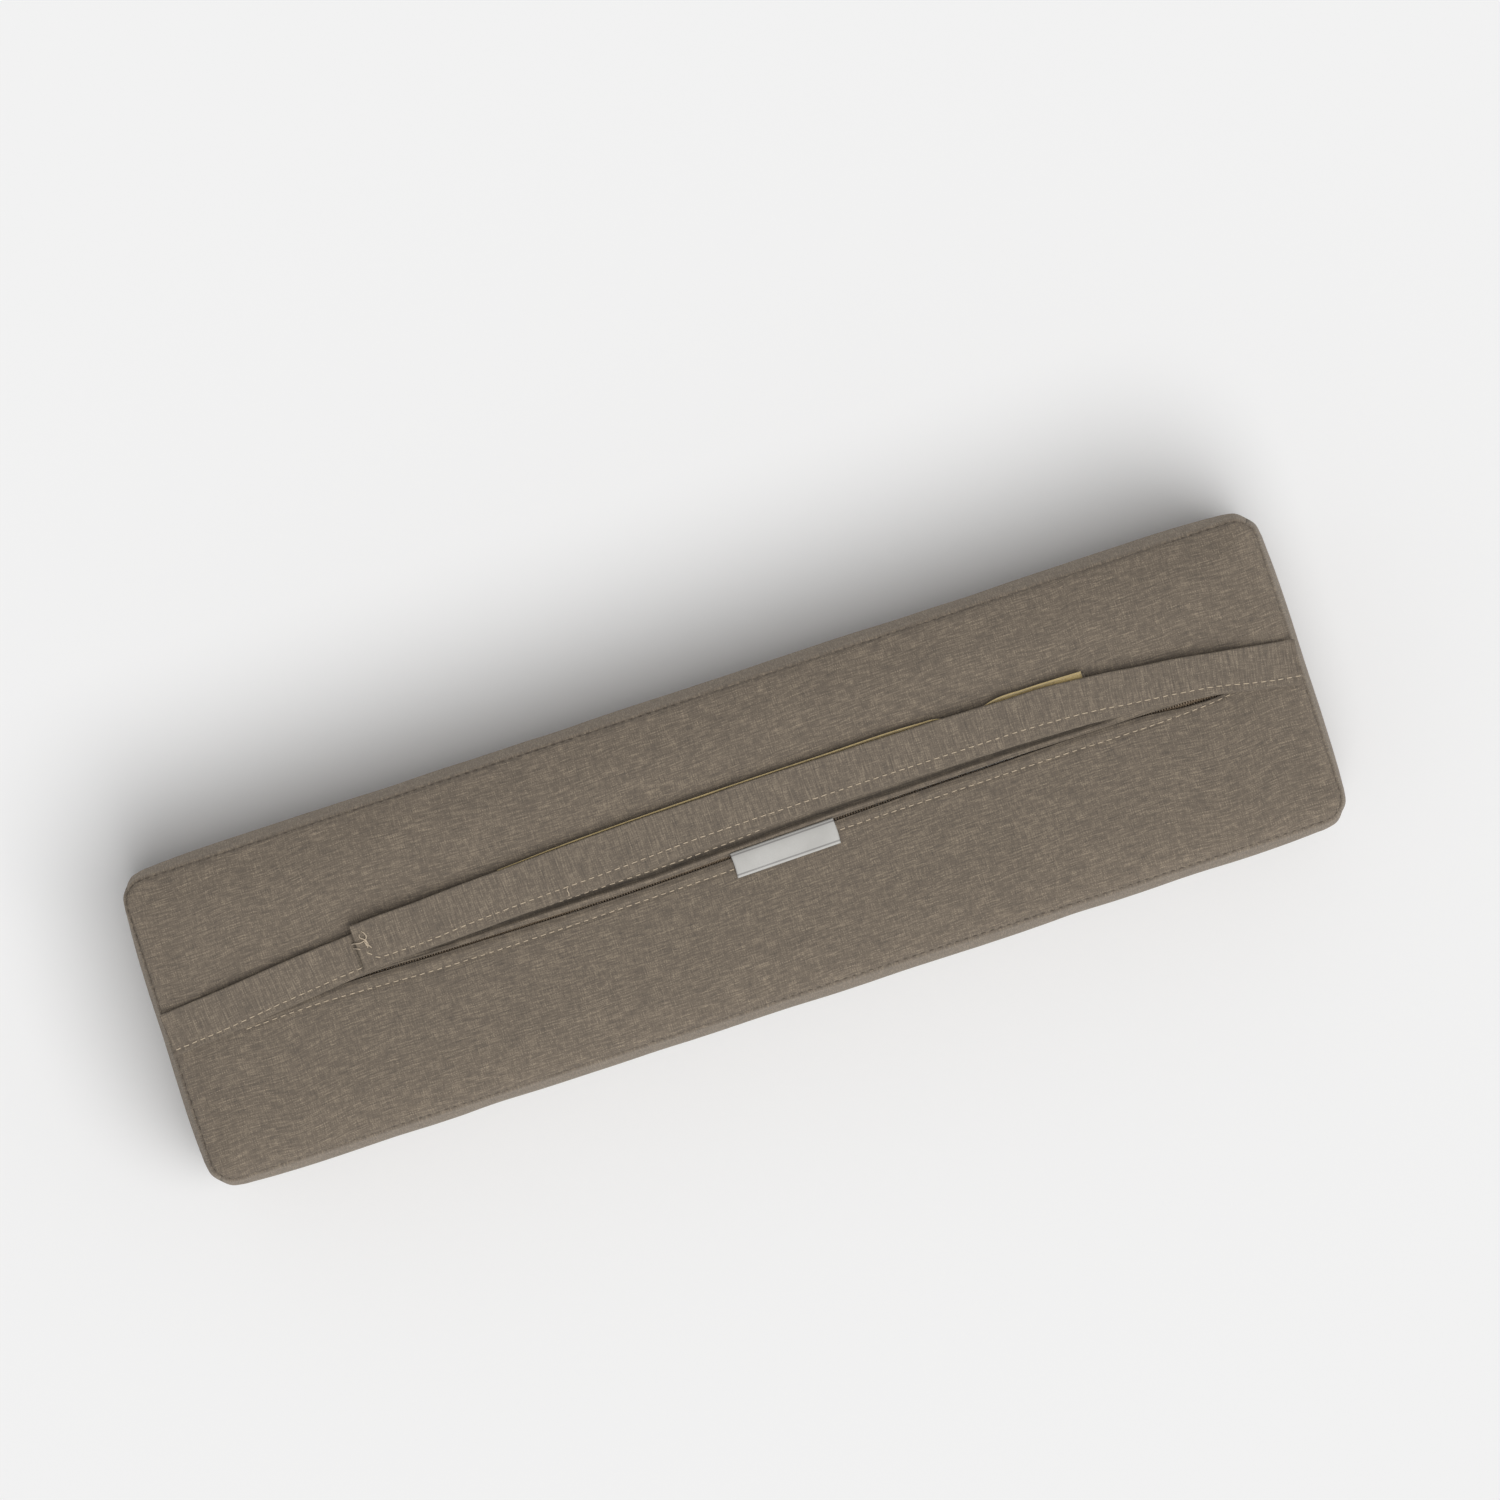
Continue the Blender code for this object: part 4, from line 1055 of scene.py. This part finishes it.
satin = mixed(tree, worn_satin, (0.53, 0.52, 0.495, 1), (0.45, 0.44, 0.415, 1))
bordered = mixed(tree, border, satin, (0.27, 0.26, 0.25, 1))
tree.links.new(bordered, tree.nodes["Principled BSDF"].inputs["Base Color"])
bumped(label_look, ribs, 0.35, 0.03 * MM)

along, down = np.linspace(0, 1, 61), np.linspace(0, 1, 19)
label_x = (-2.2 + 50.2 * along)[:, None] * MM + 0 * down
label_top = (-0.9 + 0.9 * along)[:, None] * MM
label_low = (-12.9 + 0.7 * along)[:, None] * MM
label_y = label_top + (label_low - label_top) * down
label_x = label_x + 0.35 * MM * np.sin(3 * down)[None, :]
wave = 0.35 * np.sin(2.2 * math.pi * along[:, None] + 0.8 + 1.2 * down)
wave = wave + 0.18 * np.sin(5.3 * math.pi * along[:, None])
label_z = flat_z + (0.55 + wave * down + 0.25 * down - 0.9 * np.exp(-down * 9)) * MM
label_grid = np.stack([label_x, label_y, label_z], -1)
label_map = np.stack([label_x, 1 - down + 0 * label_x], -1)
label_faces = quads(np.arange(label_x.size).reshape(label_x.shape))[:, ::-1]
label = link_mesh("label_satin_tab", label_grid.reshape(-1, 3), label_faces, label_map.reshape(-1, 2))
thickened(label, 0.22 * MM, 0)
label.data.materials.append(label_look)
cut_flat(label, "pillow", "label", "label_satin")

# ---------------------------------------------------------------- stitching
# Everything is sewn with a light beige spun thread: a lock stitch of 4.2 mm with about 2.7 mm
# showing. Along the closing seams, dark brown dashes sunk in the groove are painted shadow where
# the seam opens at each stitch.

thread = 0.28 * MM
thread_look = grained(
    plain_look("beige thread", (0.60, 0.49, 0.36), 0.7, Sheen_Weight=0.3), (0.60, 0.49, 0.36), (0.42, 0.34, 0.24),
    700, (1, 4, 4), 0.05 * MM,
)
# dark brown for the painted shadow dashes in the closing seams
seam_shadow_look = grained(
    plain_look("seam shadow dashes", (0.11, 0.088, 0.068), 0.8), (0.13, 0.105, 0.08), (0.09, 0.072, 0.056), 700
)


def stitch_pattern(length, radius):
    """One stitch: a short thread that rises out of the cloth and dips back in."""
    share = np.linspace(-1, 1, 6)
    path = np.stack([share * length / 2, 0 * share, radius * (0.55 - 1.5 * share**4)], -1)
    return bpy.data.objects.new("stitch", tube_mesh("stitch", [path], radius, 6))


def on_surface(below, xy, lift):
    """Points dropped onto the top of a piece at each (x, y)."""
    shape = BVHTree.FromObject(below, bpy.context.evaluated_depsgraph_get())
    out = []
    for x, y in xy:
        hit = shape.ray_cast(Vector((x, y, 0.3)), Vector((0, 0, -1)))[0]
        out.append((x, y, (hit.z if hit is not None else flat_z) + lift))
    return out


def stitch_row(points, first, last):
    """(x, y) along a measured line in steps of a millimetre."""
    x = np.arange(first, last, 1.0) * MM
    return np.stack([x, line_y(points, x)], -1)


light_stitch = stitch_pattern(2.9 * MM, thread)
right_row = np.concatenate([[(-0.1742, 0.0072)], stitch_row(right_stitch, -170.5, 273)])
rows_sewn = (
    ("stitch_lower", back_lower, stitch_row(lower_stitch, -238, 240), "pillow"),
    ("stitch_upper", back_upper, stitch_row(upper_stitch, -238, 240), "pillow"),
    ("stitch_left_strap", left_strap, stitch_row(left_stitch, -272, 176), "pillow"),
    ("stitch_right_strap", right_strap, right_row, "strap_right"),
)
for seed, (name, below, xy, body) in enumerate(rows_sewn, 3):
    line = on_surface(below, xy, 0.02 * MM)
    sewn = set_along(name, [line], light_stitch, stitch_pitch, thread_look, 0.12, 0.06, seed)
    belongs(sewn, body, "cover_fabric")
bpy.data.objects.remove(light_stitch, do_unlink=True)

# dark dashes sunk in each closing seam's groove: painted shadow where the seam opens at each stitch
seam_shadow_dash = stitch_pattern(2.5 * MM, 0.15 * MM)
seam_turns = np.arange(len(loop) + 1) % len(loop)
fine_loop = np.arange(0, len(loop), 0.25)
seam_sunk = 0.6 * MM     # how far in and down the dashes of painted seam shadow lie, in the seam's groove
most_out = np.array([seam_x - corner, seam_y - corner])
for name, row, up in (("seam_stitch_back", 0, 1), ("seam_stitch_front", -1, -1)):
    line = np.einsum("fc,ck->fk", spline(len(seam_turns), fine_loop), wall_shape[seam_turns, row])
    line = np.append(line, line[:1], axis=0)
    line[:, :2] -= seam_sunk * unit(line[:, :2] - np.clip(line[:, :2], -most_out, most_out))
    line[:, 2] -= up * seam_sunk
    sewn = set_along(name, [line], seam_shadow_dash, stitch_pitch, seam_shadow_look, 0.15, 0.05, 11)
    belongs(sewn, "pillow", "cover_fabric")
bpy.data.objects.remove(seam_shadow_dash, do_unlink=True)

# ---------------------------------------------------------------- loose thread ends
# At the right strap's tip the thread ends are left long and have curled into a small tangle,
# and one short end stands out of the stitching further along.

curls = [
    [(-174.8, 18.2, 0.2), (-173.6, 16.8, 0.9), (-173.2, 15.0, 1.1), (-174.0, 13.4, 0.9), (-173.4, 11.6, 0.6),
     (-174.2, 10.0, 0.3)],
    [(-176.0, 17.2, 0.3), (-176.2, 15.6, 1.1), (-174.8, 14.4, 1.4), (-173.6, 13.0, 0.9), (-174.4, 11.8, 0.8),
     (-173.9, 10.6, 0.4)],
    [(-174.2, 13.6, 0.8), (-177.0, 13.1, 1.3), (-180.2, 13.7, 0.6), (-182.4, 13.2, 0.1), (-184.6, 13.5, -0.1)],
    [(-177.6, 10.2, 0.9), (-178.6, 10.9, 0.7), (-180.0, 11.4, 0.3), (-181.2, 12.1, 0.2)],
    [(-172.4, 9.4, 0.4), (-173.2, 10.8, 0.9), (-174.6, 12.4, 0.9), (-173.8, 14.0, 1.0), (-172.8, 15.8, 0.5)],
]


def curved(points, count=26):
    """A smooth line through a few points."""
    return spline(len(points), np.linspace(0, len(points) - 1, count)) @ np.array(points, float)


on_strap = 1.9           # millimetres from the strap's underside to a thread that lies on it
strap_top_z = float(right_level[:20].mean()) / MM + on_strap
tangle_lines = [curved(c) + [0, 0, strap_top_z] for c in curls]
for line in tangle_lines[2:4]:
    # past the tip the ends hang down to the strap below
    line[:, 2] -= 4.2 * ease((-178.4 - line[:, 0]) / 3.0)
stub_height = float(np.interp(-0.0785, right_x, right_level)) / MM + on_strap
stub_line = curved([(-78.2, 7.6, 0.0), (-78.6, 6.4, 0.8), (-78.3, 5.0, 0.9), (-78.7, 3.6, 0.3)]) + [0, 0, stub_height]
loose = (("thread_tangle", tangle_lines, 0.27 * MM), ("thread_stub", [stub_line], 0.25 * MM))
for name, lines, radius in loose:
    piece = in_scene(name, tube_mesh(name, [line * MM for line in lines], radius))
    piece.data.materials.append(thread_look)
    belongs(piece, "strap_right", "cover_fabric")

# ---------------------------------------------------------------- floor, lights and camera
# A plain pale surface under soft light from the pillow's lower right, seen from straight above.

floor_half = 4.0
corners = np.array([[-1, -1, 0], [1, -1, 0], [1, 1, 0], [-1, 1, 0]]) * floor_half
floor = in_scene("floor", mesh_of("floor", corners, np.array([[0, 1, 2, 3]])))
floor.data.materials.append(plain_look("paper", (0.86, 0.86, 0.86), 0.9, Specular_IOR_Level=0.1))

sky_strength, sun_strength, sun_spread = 0.35, 2.36, math.radians(50)
sun_way = Vector((-0.17, 0.42, -1))
world = bpy.data.worlds.new("studio")
bpy.context.scene.world = world
world.use_nodes = True
background = world.node_tree.nodes["Background"]
background.inputs["Color"].default_value = (1, 1, 1, 1)
background.inputs["Strength"].default_value = sky_strength
sun = bpy.data.lights.new("key", "SUN")
sun.energy, sun.angle = sun_strength, sun_spread
in_scene("key", sun).rotation_euler = sun_way.to_track_quat("-Z", "Y").to_euler()

camera_turn = math.radians(-18.18)
view_width = 0.698       # how wide the view is at the pillow's middle height
middle_height = 0.05
lens, sensor = 300.0, 36.0      # from well back, so that the top and the floor are nearly to one scale
camera_data = bpy.data.cameras.new("camera")
camera_data.lens, camera_data.sensor_width, camera_data.clip_end = lens, sensor, 50
camera = in_scene("camera", camera_data)
camera.location = (0.0216, 0.0416, middle_height + view_width * lens / sensor)
camera.rotation_euler = (0, 0, camera_turn)
bpy.context.scene.camera = camera
bpy.context.scene.view_settings.view_transform = "Standard"
